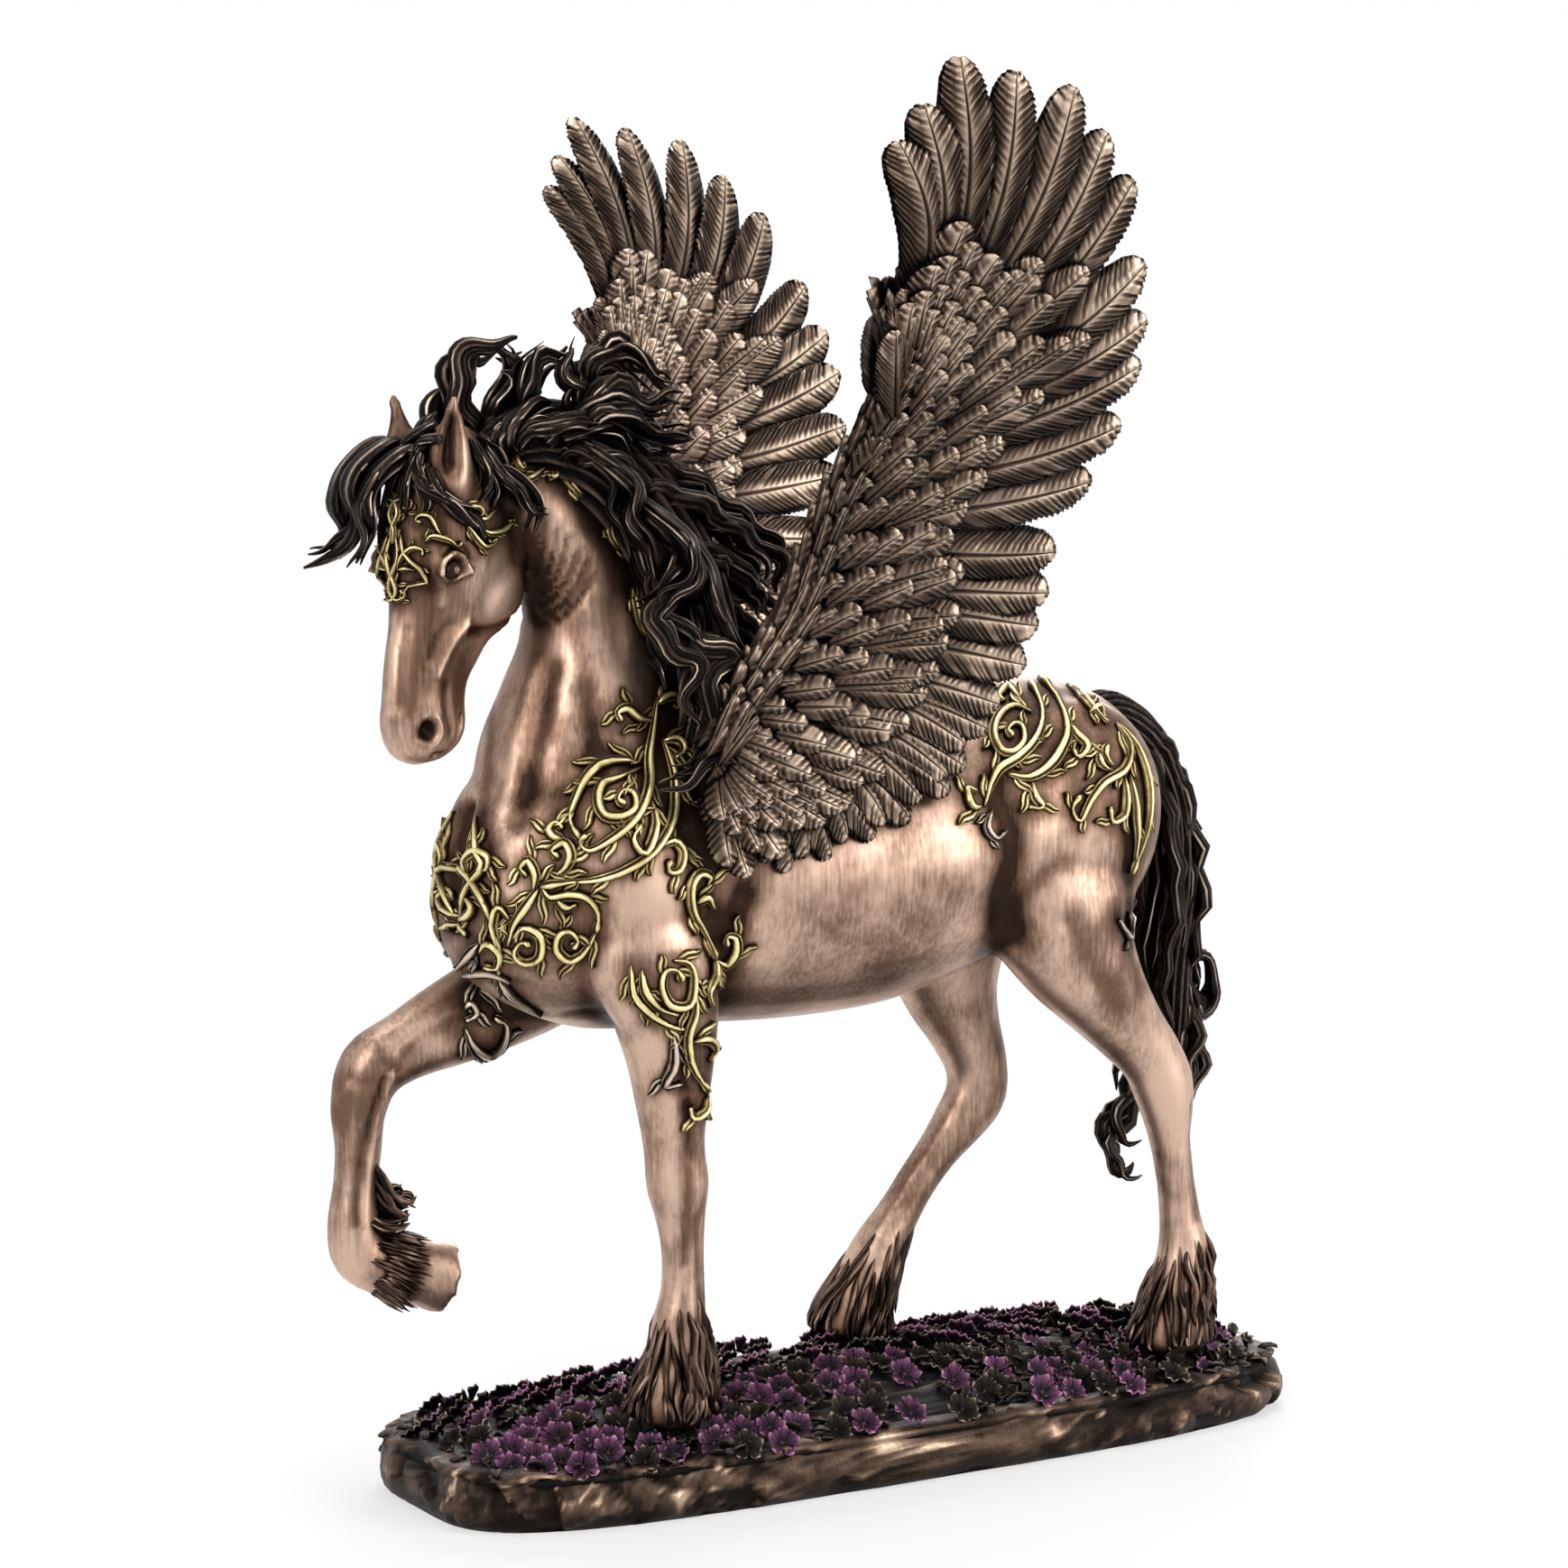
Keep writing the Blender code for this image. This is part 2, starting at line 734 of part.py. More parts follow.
def wing(side):
    return [wing_arm(side), wing_root(side), *wing_feathers(side)]


# Mane, forelock and tail


def lock(name, path, radius):
    """A tapering lock of hair along a smooth path of (x, y, z)."""
    centres = smooth_path(path, 2)
    rows = []
    for i, centre in enumerate(centres):
        t = i / (len(centres) - 1)
        size = radius * (0.8 + 0.75 * t - 1.4 * t * t)
        rows.append((*centre, max(size, 0.5), max(size * 0.75, 0.4)))
    return limb(name, rows, sides=LOCK_SIDES, steps=1)


def raised(path):
    """A path drawn at the body height of 131.5, moved with the body."""
    return [(x, y, z + BODY_Z - 131.5) for x, y, z in path]


def mane_mass():
    """The thick of the mane, standing off the crest and lying over the left of the neck."""
    rows = [
        (-88, 2, 221, 5, 6), (-76, 1, 223, 10, 9), (-62, 0, 217, 14, 11),
        (-50, -2, 202, 14, 14), (-43, -5, 186, 13, 15), (-41, -8, 170, 11, 14),
        (-45, -13, 158, 7, 11), (-50, -16, 149, 3, 4),
    ]
    rise = BODY_Z - 131.5
    return limb("mane", [(x, y, z + rise, d, w) for x, y, z, d, w in rows], sides=10)


# Locks of the mane: tufts thrown up behind the ears, locks blown back, and long ones that fall
# down the left of the neck. Each starts inside the thick of the mane.
TUFTS = [
    [(-88, 3, 218), (-92, 0, 232), (-92, -1, 240), (-86, -2, 244), (-79, -2, 243)],
    [(-84, 5, 220), (-81, 3, 232), (-80, 1, 239), (-82, 0, 243)],
    [(-73, 3, 218), (-77, 1, 231), (-78, -1, 237), (-74, -2, 242), (-67, -1, 243)],
    [(-66, 3, 218), (-67, 3, 232), (-71, 4, 238), (-68, 4, 245)],
    [(-62, 0, 222), (-61, -1, 238), (-55, -3, 241), (-49, -4, 237), (-43, -5, 233)],
]
BLOWN_LOCKS = [
    [(-66, -4, 220), (-60, -8, 230), (-53, -10, 229), (-45, -10, 225)],
    [(-60, 6, 220), (-53, 9, 228), (-46, 12, 229), (-38, 13, 222)],
    [(-56, -3, 214), (-43, -4, 217), (-32, -3, 209), (-22, -2, 204)],
    [(-54, 6, 208), (-42, 10, 213), (-32, 13, 206), (-23, 15, 203)],
    [(-50, -6, 205), (-38, -9, 204), (-28, -8, 196), (-19, -7, 194)],
    [(-48, 4, 196), (-37, 7, 196), (-27, 9, 189), (-19, 10, 188)],
    [(-46, -8, 190), (-36, -11, 188), (-27, -11, 181), (-20, -10, 180)],
]
FALLING_LOCKS = [
    [(-70, -6, 222), (-62, -14, 216), (-61, -16, 206), (-56, -18, 197), (-59, -19, 189)],
    [(-58, -12, 210), (-51, -19, 203), (-50, -21, 195), (-56, -23, 189), (-59, -23, 182)],
    [(-50, -14, 204), (-44, -18, 195), (-44, -22, 188), (-40, -24, 180)],
    [(-56, -18, 190), (-59, -22, 184), (-54, -24, 177), (-55, -26, 169), (-50, -26, 162)],
    [(-48, -18, 184), (-46, -24, 178), (-51, -27, 171), (-47, -29, 164), (-52, -30, 156)],
    [(-66, 8, 216), (-58, 15, 208), (-60, 18, 198), (-54, 20, 188), (-57, 21, 178)],
    [(-54, 14, 198), (-47, 20, 189), (-49, 22, 179), (-43, 24, 169)],
]
EAR_LOCKS = [
    [(-93, -2, 221), (-90, -9, 218), (-89, -12, 213), (-85, -13, 211), (-80, -13, 209)],
]


def mane():
    locks = [mane_mass()]
    for path in TUFTS:
        locks.append(lock("tuft", raised(path), LOCK_RADIUS * 1.3))
    for path in BLOWN_LOCKS + FALLING_LOCKS:
        locks.append(lock("mane_lock", raised(path), LOCK_RADIUS * 1.1))
    for path in EAR_LOCKS:
        locks.append(lock("ear_lock", raised(path), LOCK_RADIUS * 0.7))
    return locks


# Locks of the forelock, between the ears and over the brow.
FORELOCKS = [
    [(-98, 2, 217), (-112, -1, 221), (-118, -1, 215), (-115, 0, 208), (-119, 2, 202),
     (-126, 4, 199)],
    [(-98, -2, 217), (-104, -6, 217), (-100, -10, 212), (-95, -13, 206), (-92, -14, 202)],
    [(-98, -1, 217), (-109, -6, 219), (-114, -9, 212), (-112, -10, 203)],
    [(-98, 5, 217), (-108, 9, 219), (-114, 11, 212), (-113, 11, 203)],
    [(-96, 4, 215), (-98, 4, 226), (-95, 4, 232)],
]


def forelock():
    return [lock("forelock", raised(path), LOCK_RADIUS * 1.15) for path in FORELOCKS]


def tail():
    """A full tail arching out of the croup and falling in twisted locks."""
    rise = BODY_Z - 131.5
    rows = [
        (62, 157, 6, 6), (70, 158.5, 6.5, 7), (78, 151, 8, 8.5), (83.5, 137, 8.5, 9.5),
        (85, 120, 9, 10), (84.5, 103, 8.5, 9), (86, 88, 7, 8), (88, 74, 5, 5), (91, 64, 1.5, 1.5),
    ]
    parts = [limb("tail_core", [(x, BODY_Y, z + rise, d, w) for x, z, d, w in rows], sides=10)]
    curls = [
        [(74, 0, 156), (87, -4, 141), (92, -6, 118), (90, -5, 100), (96, -2, 84)],
        [(73, 4, 156), (83, 8, 142), (89, 10, 118), (87, 9, 98), (90, 8, 78)],
        [(76, -3, 151), (80, -9, 136), (82, -11, 116), (80, -9, 98), (85, -7, 82)],
        [(88, 2, 106), (95, 4, 92), (101, 4, 87), (105, 3, 94), (102, 3, 100)],
        [(92, 5, 96), (90, 10, 78), (85, 13, 66), (80, 13, 58), (84, 12, 50)],
    ]
    for path in curls:
        raised = [(x, BODY_Y + y, z + rise) for x, y, z in path]
        parts.append(lock("tail_lock", raised, TAIL_LOCK_RADIUS))
    return parts


# Scrollwork

# Vines on the horse's side as (x, z), drawn at the body height of 131.5.
SHOULDER_VINES = [
    [(-50, 168), (-53, 155), (-58, 143), (-69, 135), (-81, 132)],
    [(-52, 137), (-55, 131), (-50, 125), (-45, 120), (-47, 113)],
]
CROUP_VINES = [
    [(26, 163), (36, 167), (46, 163), (46, 154), (38, 148)],
    [(33, 149), (26, 152), (19, 143), (20, 136)],
    [(44, 143), (52, 148), (58, 155), (56, 146), (55, 137)],
    [(61, 156), (63, 140), (62, 128), (60, 118)],
]
FORELEG_VINES = [
    [(-61, 115), (-55, 108), (-53, 98), (-51, 84)],
]
# Spirals on the side: centre (x, z), size, start in degrees, turns.
SHOULDER_SPIRALS = [(-67, 149, 11, 60, 1.4), (-77, 123, 6, 200, 1.2)]
CROUP_SPIRALS = [(32, 157, 7.5, 0, 1.3)]
FORELEG_SPIRALS = [(-60, 108, 5, 90, 1.2)]
# Spirals on the breast: centre (y, z), size, start in degrees, turns.
BREAST_SPIRALS = [(-6, 131, 6, 30, 1.1), (10, 131, 6, 150, -1.1), (2, 145, 5, 270, 0.9)]


def spiral(centre_a, centre_b, size, start, turns):
    """Points that wind in towards the centre of a plane spiral."""
    count = 10
    points = []
    for k in range(count):
        t = k / (count - 1)
        angle = math.radians(start) + 2 * math.pi * turns * t
        reach = size * (1 - 0.75 * t)
        points.append((centre_a + reach * math.cos(angle), centre_b + reach * math.sin(angle)))
    return points


def vine(skin, path, inwards):
    """A raised strand laid on the skin. Its path is seen along the inward direction."""
    inwards = Vector(inwards)
    reach = BODY_WIDTH * 3
    places = []
    for a, b in path:
        height = b + BODY_Z - 131.5
        spot = Vector((a, BODY_Y, height)) if inwards.y else Vector((-84, a, height))
        place, normal, face, distance = skin.ray_cast((spot - inwards * reach) * MM, inwards)
        if place is not None:
            places.append(place / MM)
    rows = []
    for i, place in enumerate(places):
        radius = SCROLL_RADIUS * (1.15 - 0.5 * i / len(places))
        rows.append((*place, radius, radius))
    return limb("vine", rows, sides=SCROLL_SIDES, steps=1, level=inwards)


def scrollwork(horse):
    """The largest scrolls: breast, shoulders, standing foreleg and croup."""
    bm = bmesh.new()
    bm.from_mesh(horse.data)
    skin = BVHTree.FromBMesh(bm)
    bm.free()
    parts = []
    for side in (-1, 1):
        stems = SHOULDER_VINES + CROUP_VINES
        spirals = SHOULDER_SPIRALS + CROUP_SPIRALS
        if side < 0:
            stems = stems + FORELEG_VINES
            spirals = spirals + FORELEG_SPIRALS
        for stem in stems:
            path = [(p.x, p.y) for p in smooth_path([(x, z, 0) for x, z in stem], 2)]
            parts.append(vine(skin, path, (0, -side, 0)))
        for form in spirals:
            parts.append(vine(skin, spiral(*form), (0, -side, 0)))
    for form in BREAST_SPIRALS:
        parts.append(vine(skin, spiral(*form), (1, 0, 0)))
    return parts


def figurine():
    """Everything joined to one casting."""
    rng = random.Random(RANDOM_SEED)
    horse = horse_body()
    pieces = [
        rock_base(), *flower_bed(rng), *wing(-1), *wing(1), *mane(), *forelock(), *tail(),
        *fetlock_hair(), *scrollwork(horse),
    ]
    casting = without_bubbles(united(horse, pieces))
    flat_underside(without_bubbles(thinned(casting, CASTING_TRIANGLES)))
    casting.name = "pegasus_figurine"
    casting.data.materials.clear()
    casting.data.materials.append(bronze())
    return casting


def bronze():
    """Bronze-coated resin: brown copper, half polished."""
    material = bpy.data.materials.new("bronze_patina")
    material.use_nodes = True
    shader = material.node_tree.nodes["Principled BSDF"]
    shader.inputs["Base Color"].default_value = (0.36, 0.23, 0.15, 1)
    shader.inputs["Metallic"].default_value = 0.9
    shader.inputs["Roughness"].default_value = 0.35
    return material


def main():
    clear_scene()
    figurine()


main()
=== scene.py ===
"""Looks of the winged horse figurine: skin, feathers, hair, scrolls, flowers and rock.

Lengths in the lists are millimetres. The horse walks towards -X and its left side faces -Y.
"""

import math
import random

import bmesh
import bpy
import numpy as np
from mathutils import Matrix, Vector
from mathutils.bvhtree import BVHTree
from mathutils.kdtree import KDTree
from mathutils.noise import noise


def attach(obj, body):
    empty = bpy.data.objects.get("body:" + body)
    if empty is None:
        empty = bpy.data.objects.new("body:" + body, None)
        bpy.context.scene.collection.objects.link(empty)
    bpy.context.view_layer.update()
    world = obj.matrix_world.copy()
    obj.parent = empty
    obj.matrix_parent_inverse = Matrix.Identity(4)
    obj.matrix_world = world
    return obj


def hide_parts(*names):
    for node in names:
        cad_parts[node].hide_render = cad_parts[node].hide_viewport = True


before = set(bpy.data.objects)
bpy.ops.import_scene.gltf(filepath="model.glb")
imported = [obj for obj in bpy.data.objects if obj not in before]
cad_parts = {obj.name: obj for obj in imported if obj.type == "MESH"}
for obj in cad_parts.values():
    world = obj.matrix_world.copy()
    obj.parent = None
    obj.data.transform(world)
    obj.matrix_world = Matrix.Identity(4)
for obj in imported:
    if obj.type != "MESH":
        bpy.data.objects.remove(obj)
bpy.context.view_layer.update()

MM = 0.001
BODY = "root"
CASTING = "pegasus_figurine"

BASE_LENGTH = 215.0
BASE_WIDTH = 77.0
BASE_WALL = 12.0
MOUND_HEIGHT = 5.0
BODY_Y = 2.0
BODY_WIDTH = 62.0
BODY_DEPTH = 69.0
LEG_SPREAD = 38.0
HOOF_RADIUS = 8.5
HEAD_TURN = math.radians(20.0)
EAR_LENGTH = 20.0
GROUND = BASE_WALL + MOUND_HEIGHT
BODY_Z = 131.5
WING_LEAN = math.radians(22.0)
WING_SPAN = 166.0
WING_CHORD = 70.0
WING_ROOT_X = -40.0
FAR_WING_SHARE = 0.95

VIEW_TARGET = (-0.031, -0.027, 0.152)
VIEW_PLACE = (-0.4776, -0.8006, 0.2617)
VIEW_LENS = 98.8
# The camera's frame is this many points wide, and a millimetre at its target takes so many.
FRAME_SIZE = 1738
VIEW_STEP = 5.3

HEAD_X = -84
EYE_SPOT = (506, 632)
NOSTRIL_SPOT = (476, 811)
SKIN_VOXEL = 1.32
SCROLL_HEIGHT = 1.3
ROCK_SIDES = 390
CHIP_COUNT = 150
FLOWER_COUNT = 240
FLOWER_GAP = 5.2
LEAF_COUNT = 650
GROUND_SIDES = 150

rng = random.Random(41)


# Meshes


def smooth_path(values, steps):
    """A Catmull-Rom curve through rows of numbers, as an array."""
    points = np.array(values, float)
    padded = np.vstack([2 * points[0] - points[1], points, 2 * points[-1] - points[-2]])
    out = []
    for i in range(len(points) - 1):
        a, b, c, d = padded[i : i + 4]
        for k in range(steps):
            t = k / steps
            out.append(
                0.5 * (2 * b + (c - a) * t + (2 * a - 5 * b + 4 * c - d) * t**2
                       + (3 * b - a - 3 * c + d) * t**3)
            )
    out.append(points[-1])
    return np.array(out)


def tube(rings, relief_and_light):
    """A closed skin round rings of points, shaped (rings, points, 3), with its relief values."""
    count, sides = rings.shape[:2]
    points = rings.reshape(-1, 3)
    ends = np.array([rings[0].mean(0), rings[-1].mean(0)])
    low = np.arange(count - 1)[:, None] * sides + np.arange(sides)[None, :]
    turn = np.arange(count - 1)[:, None] * sides + (np.arange(sides)[None, :] + 1) % sides
    quads = np.stack([low, turn, turn + sides, low + sides], axis=2).reshape(-1, 4)
    first, last = len(points), len(points) + 1
    wheel = [((k + 1) % sides, k, first) for k in range(sides)]
    top = (count - 1) * sides
    wheel += [(top + k, top + (k + 1) % sides, last) for k in range(sides)]
    points = np.vstack([points, ends])
    shade = np.concatenate([relief_and_light.reshape(-1), [relief_and_light[0].mean(), relief_and_light[-1].mean()]])
    faces = [tuple(q) for q in quads.tolist()] + wheel
    a, b, c, d = (points[quads[:, k]] for k in range(4))
    swept = np.einsum("ij,ij->i", a, np.cross(b, c)) + np.einsum("ij,ij->i", a, np.cross(c, d))
    if swept.sum() < 0:
        faces = [face[::-1] for face in faces]
    return points, faces, shade


def joined(chunks):
    """Several closed skins as one list of points in metres, faces and relief values."""
    points, faces, shade, start = [], [], [], 0
    for chunk_points, chunk_faces, chunk_shade in chunks:
        points.append(chunk_points)
        shade.append(chunk_shade)
        faces += [tuple(i + start for i in face) for face in chunk_faces]
        start += len(chunk_points)
    return (np.vstack(points) * MM).tolist(), faces, np.concatenate(shade)


def raw_object(name, points, faces):
    """A new object at the origin."""
    mesh = bpy.data.meshes.new(name)
    mesh.from_pydata(points, [], faces)
    obj = bpy.data.objects.new(name, mesh)
    bpy.context.scene.collection.objects.link(obj)
    return obj


def set_relief_and_light(mesh, values):
    """Keeps each point's tone value, 0 in a dark hollow and 1 on a pale ridge. It follows the
    shape's height and also carries painted shade and painted highlight.
    """
    relief_and_light = mesh.attributes.new("relief_and_light", "FLOAT", "POINT")
    relief_and_light.data.foreach_set("value", values.astype(np.float32))


def piece_from(name, chunks, material):
    """One smooth-shaded piece of the object from several closed skins."""
    points, faces, shade = joined(chunks)
    obj = raw_object(name, points, faces)
    set_relief_and_light(obj.data, shade)
    return finished(obj, material)


def finished(obj, material):
    """The object as a piece of the casting, with its finish."""
    mesh = obj.data
    mesh.polygons.foreach_set("use_smooth", [True] * len(mesh.polygons))
    mesh.materials.clear()
    mesh.materials.append(material)
    mesh.update()
    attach(obj, BODY)
    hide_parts(CASTING)
    return obj


def frames_along(path):
    """Two directions across a path at each of its points, without sudden turns."""
    along = np.gradient(path, axis=0)
    along /= np.linalg.norm(along, axis=1)[:, None] + 1e-9
    side = np.cross(along[0], (0.0, 0.3, 1.0))
    side /= np.linalg.norm(side)
    sides = []
    for direction in along:
        side = side - direction * side.dot(direction)
        side /= np.linalg.norm(side) + 1e-9
        sides.append(side)
    sides = np.array(sides)
    return sides, np.cross(along, sides)


# Horse


def limb_rings(stations, sides, steps):
    """Rings across a path of (x, y, z, half depth, half width), with their width kept level."""
    rows = smooth_path(stations, steps)
    path, sizes = rows[:, :3], np.maximum(rows[:, 3:5], 0.8)
    along = np.gradient(path, axis=0)
    along /= np.linalg.norm(along, axis=1)[:, None]
    level = np.array((0.0, 1.0, 0.0))
    side = level - along * (along @ level)[:, None]
    side /= np.linalg.norm(side, axis=1)[:, None]
    front = np.cross(along, side)
    turns = 2 * math.pi * np.arange(sides) / sides
    return (
        path[:, None]
        + side[:, None] * (sizes[:, 1:2] * np.cos(turns))[:, :, None]
        + front[:, None] * (sizes[:, 0:1] * np.sin(turns))[:, :, None]
    )


def limb(stations, sides=24):
    """A closed limb round its stations."""
    rings = limb_rings(stations, sides, 4)
    return tube(rings, np.zeros(rings.shape[:2]))


def muscle(centre, radii, turn=0.0):
    """An egg-shaped muscle, turned about the Y axis by turn degrees."""
    bm = bmesh.new()
    bmesh.ops.create_icosphere(bm, subdivisions=4, radius=1.0)
    bm.transform(Matrix.Diagonal((*radii, 1)))
    bm.transform(Matrix.Rotation(math.radians(turn), 4, "Y"))
    bm.transform(Matrix.Translation(centre))
    points = np.array([v.co[:] for v in bm.verts])
    faces = [tuple(v.index for v in f.verts) for f in bm.faces]
    bm.free()
    return points, faces, np.zeros(len(points))


def torso():
    """The barrel from breast to buttocks."""
    half, wide = BODY_DEPTH / 2, BODY_WIDTH / 2
    stations = [
        (-92.5, 8, 0.24, 0.26), (-88, 7, 0.56, 0.52), (-79, 4, 0.84, 0.72),
        (-64, 2.5, 1.02, 0.86), (-45, 2.5, 1.04, 0.92), (-20, 0, 1.0, 0.98),
        (5, 0, 0.96, 1.0), (25, 4, 0.88, 0.97), (43, 8, 0.87, 0.94),
        (58, 10, 0.76, 0.86), (70, 11, 0.56, 0.66), (77, 12, 0.28, 0.36),
    ]
    rows = [(x, BODY_Y, BODY_Z + z, h * half, w * wide) for x, z, h, w in stations]
    return limb(rows, sides=32)


def neck():
    """The arched neck, from inside the chest to the poll."""
    stations = [
        (-56, 138, 33, 24), (-60, 156, 28, 20.5), (-60.5, 171, 21.5, 16.5),
        (-61.5, 185, 15.5, 13.5), (-66.5, 199, 13, 12), (-76, 208, 12.5, 11),
        (-87, 212, 12, 10),
    ]
    return limb([(x, BODY_Y, z, d, w) for x, z, d, w in stations])


def turned(points):
    """Points of the straight head brought to the head's own turn."""
    cos, sin = math.cos(HEAD_TURN), math.sin(HEAD_TURN)
    points = np.array(points, float)
    x, y = points[..., 0] - HEAD_X, points[..., 1] - BODY_Y
    return np.stack([cos * x - sin * y + HEAD_X, sin * x + cos * y + BODY_Y, points[..., 2]], -1)


def unturned(points):
    """Points of the turned head brought back to the straight one."""
    cos, sin = math.cos(HEAD_TURN), math.sin(HEAD_TURN)
    x, y = points[..., 0] - HEAD_X, points[..., 1] - BODY_Y
    return np.stack([cos * x + sin * y + HEAD_X, -sin * x + cos * y + BODY_Y, points[..., 2]], -1)


def head():
    """Skull, ears, cheeks and brows, turned to the horse's left at the end."""
    skull = [
        (-93.5, 227, 3.5, 3.5), (-95.5, 221, 11, 7.5), (-96.5, 211, 15, 10),
        (-96.5, 201, 16.5, 10.5), (-98, 193, 15.5, 9), (-101, 185, 12.5, 7.4),
        (-104, 178, 11, 6.4), (-105, 171, 10.4, 6.6), (-105, 166, 10.4, 7.2),
        (-104.5, 161.5, 8.4, 6.2), (-104, 159, 4, 3.4),
    ]
    parts = [limb([(x, BODY_Y, z, d, w) for x, z, d, w in skull])]
    for side in (-1, 1):
        ear = [
            (-101, BODY_Y + side * 6, 209, 3.4, 3.4),
            (-103, BODY_Y + side * 7, 214 + EAR_LENGTH * 0.15, 4.9, 4.0),
            (-104.0, BODY_Y + side * 7.4, 214 + EAR_LENGTH * 0.42, 4.8, 3.8),
            (-104.0, BODY_Y + side * 8.2, 214 + EAR_LENGTH * 0.75, 3.0, 2.4),
            (-104, BODY_Y + side * 8.6, 214 + EAR_LENGTH, 0.9, 0.9),
        ]
        parts.append(limb(ear, sides=16))
        parts.append(muscle((-90, BODY_Y + side * 4.5, 194), (9.5, 5, 10)))
        parts.append(muscle((-106, BODY_Y + side * 7.5, 199.5), (4.5, 3.6, 4.5)))
        parts.append(muscle((-108.5, BODY_Y + side * 4, 167), (3.8, 2.8, 3.8)))
    return [(turned(points), faces, shade) for points, faces, shade in parts]


def standing_leg(stations, side):
    """A leg whose heights start at the ground."""
    reach = LEG_SPREAD / 2
    return limb(
        [(x, BODY_Y + side * (reach + out), GROUND + z, d, w) for x, out, z, d, w in stations]
    )


def legs():
    """Four legs, the right foreleg raised."""
    hoof = HOOF_RADIUS
    left_fore = standing_leg([
        (-54, 0, -2, hoof, hoof * 0.9), (-53, 0, 4, hoof * 0.94, hoof * 0.86),
        (-51.5, 0, 12, 6.6, 6.2), (-51, 0, 19, 6.2, 5.8), (-50, 0, 27, 5, 4.6),
        (-50, 0, 35, 4.8, 4.3), (-50.5, 0, 43, 5.6, 5), (-51.2, 0, 50, 7, 6.2),
        (-52, 0, 58, 6.7, 6.2), (-53, 1, 68, 8, 7.4), (-54, 2, 80, 10.2, 9),
        (-56, 2, 92, 13, 10.5), (-59, 0, 103, 15, 10.5), (-61, -4, 116, 13, 8),
    ], -1)
    raised = [
        (-50, -5, 118, 12, 8), (-62, -1, 109, 12.5, 9.5), (-75, 0.5, 102.5, 11, 9),
        (-88, 0, 98, 9.2, 7.8), (-97, 0, 94.5, 7.6, 7), (-104.5, 0, 90.5, 7.4, 6.6),
        (-107.5, 0, 82, 6.2, 5.6), (-107.5, 0, 74, 5.2, 4.8), (-108.5, 0, 65, 5, 4.6),
        (-109, 0, 57.5, 5.8, 5.2), (-107.5, 0, 51, 6.4, 5.8), (-102.5, 0, 47.5, 6.2, 5.8),
        (-97, 0, 46, 6.8, 6.4), (-92.5, 0, 45, 7.6, 7.2), (-87.5, 0, 43.5, hoof, hoof),
    ]
    right_fore = limb([(x, BODY_Y + LEG_SPREAD / 2 + out, z, d, w) for x, out, z, d, w in raised])
    left_hind = standing_leg([
        (75, 0, -2, hoof, hoof * 0.9), (76, 0, 5, hoof * 0.92, hoof * 0.86),
        (78, 0, 13, 6.8, 6.2), (79.5, 0, 20, 6.3, 5.8), (78.5, 0, 28, 5, 4.6),
        (77, 0, 38, 4.6, 4.3), (75.5, 0, 47, 5.1, 4.7), (74.5, 0, 54, 6.6, 5.5),
        (73, 0, 60, 7.6, 6), (70, 0, 66, 7.6, 6.2), (64, 0, 73, 8.6, 7.2),
        (56, 1, 82, 11, 8.8), (49, 1, 92, 15, 10.5), (45, 0, 103, 20, 12),
        (44, -3, 116, 22, 11), (46, -6, 128, 18, 9),
    ], -1)
    right_hind = standing_leg([
        (14, 2, 0, hoof, hoof * 0.9), (16, 2, 7, hoof * 0.92, hoof * 0.86),
        (19.5, 2, 14, 6.8, 6.2), (23, 2, 20, 6.3, 5.8), (28, 2, 27, 5.2, 4.8),
        (33, 2, 34, 4.9, 4.5), (39, 2, 41, 5.2, 4.8), (44.5, 2, 47, 6.6, 5.4),
        (49, 2, 53, 7.6, 5.8), (49, 2, 60, 7.6, 6.2), (45.5, 2, 69, 9, 7.6),
        (42, 2, 78, 12, 9.4), (40, 1, 89, 16, 11), (42, 0, 101, 20, 12),
        (45, -3, 115, 21, 11), (46, -6, 128, 18, 9),
    ], 1)
    return [left_fore, right_fore, left_hind, right_hind]


def muscles():
    """Shoulders, haunches and breast."""
    wide = BODY_WIDTH / 2
    parts = []
    for side in (-1, 1):
        out = side * wide
        parts += [
            muscle((-62, BODY_Y + out * 0.55, 134), (17, 13, 25), -20),
            muscle((49, BODY_Y + out * 0.52, 138), (23, 14, 27), 12),
            muscle((-81, BODY_Y + out * 0.3, 133), (11, 10, 17), 15),
        ]
    return parts


def apply_modifiers(obj):
    bpy.ops.object.select_all(action="DESELECT")
    obj.select_set(True)
    bpy.context.view_layer.objects.active = obj
    for modifier in list(obj.modifiers):
        bpy.ops.object.modifier_apply(modifier=modifier.name)


def mesh_points(mesh):
    """The mesh's points, in millimetres."""
    out = np.empty(len(mesh.vertices) * 3)
    mesh.vertices.foreach_get("co", out)
    return out.reshape(-1, 3) / MM


def skin_tree(obj):
    """A tree of the object's faces, to lay things on."""
    bm = bmesh.new()
    bm.from_mesh(obj.data)
    tree = BVHTree.FromBMesh(bm)
    bm.free()
    return tree


def mesh_normals(mesh):
    """The outward direction at each of the mesh's points."""
    out = np.empty(len(mesh.vertices) * 3)
    mesh.vertex_normals.foreach_get("vector", out)
    return out.reshape(-1, 3)


def seen_on_skin(skin, across, down):
    """The place on the skin that the camera sees at a point of its frame."""
    centre = Vector(VIEW_TARGET)
    back = (Vector(VIEW_PLACE) - centre).normalized()
    right = Vector((0, 0, 1)).cross(back).normalized()
    up = back.cross(right)
    far = (Vector(VIEW_PLACE) - centre).length
    spot = centre + (right * (across - FRAME_SIZE / 2) + up * (FRAME_SIZE / 2 - down)) * (
        MM / VIEW_STEP
    )
    ray = (spot - Vector(VIEW_PLACE)).normalized()
    place, _, _, _ = skin.ray_cast(Vector(VIEW_PLACE), ray, far * 1.3)
    return None if place is None else np.array(place) / MM


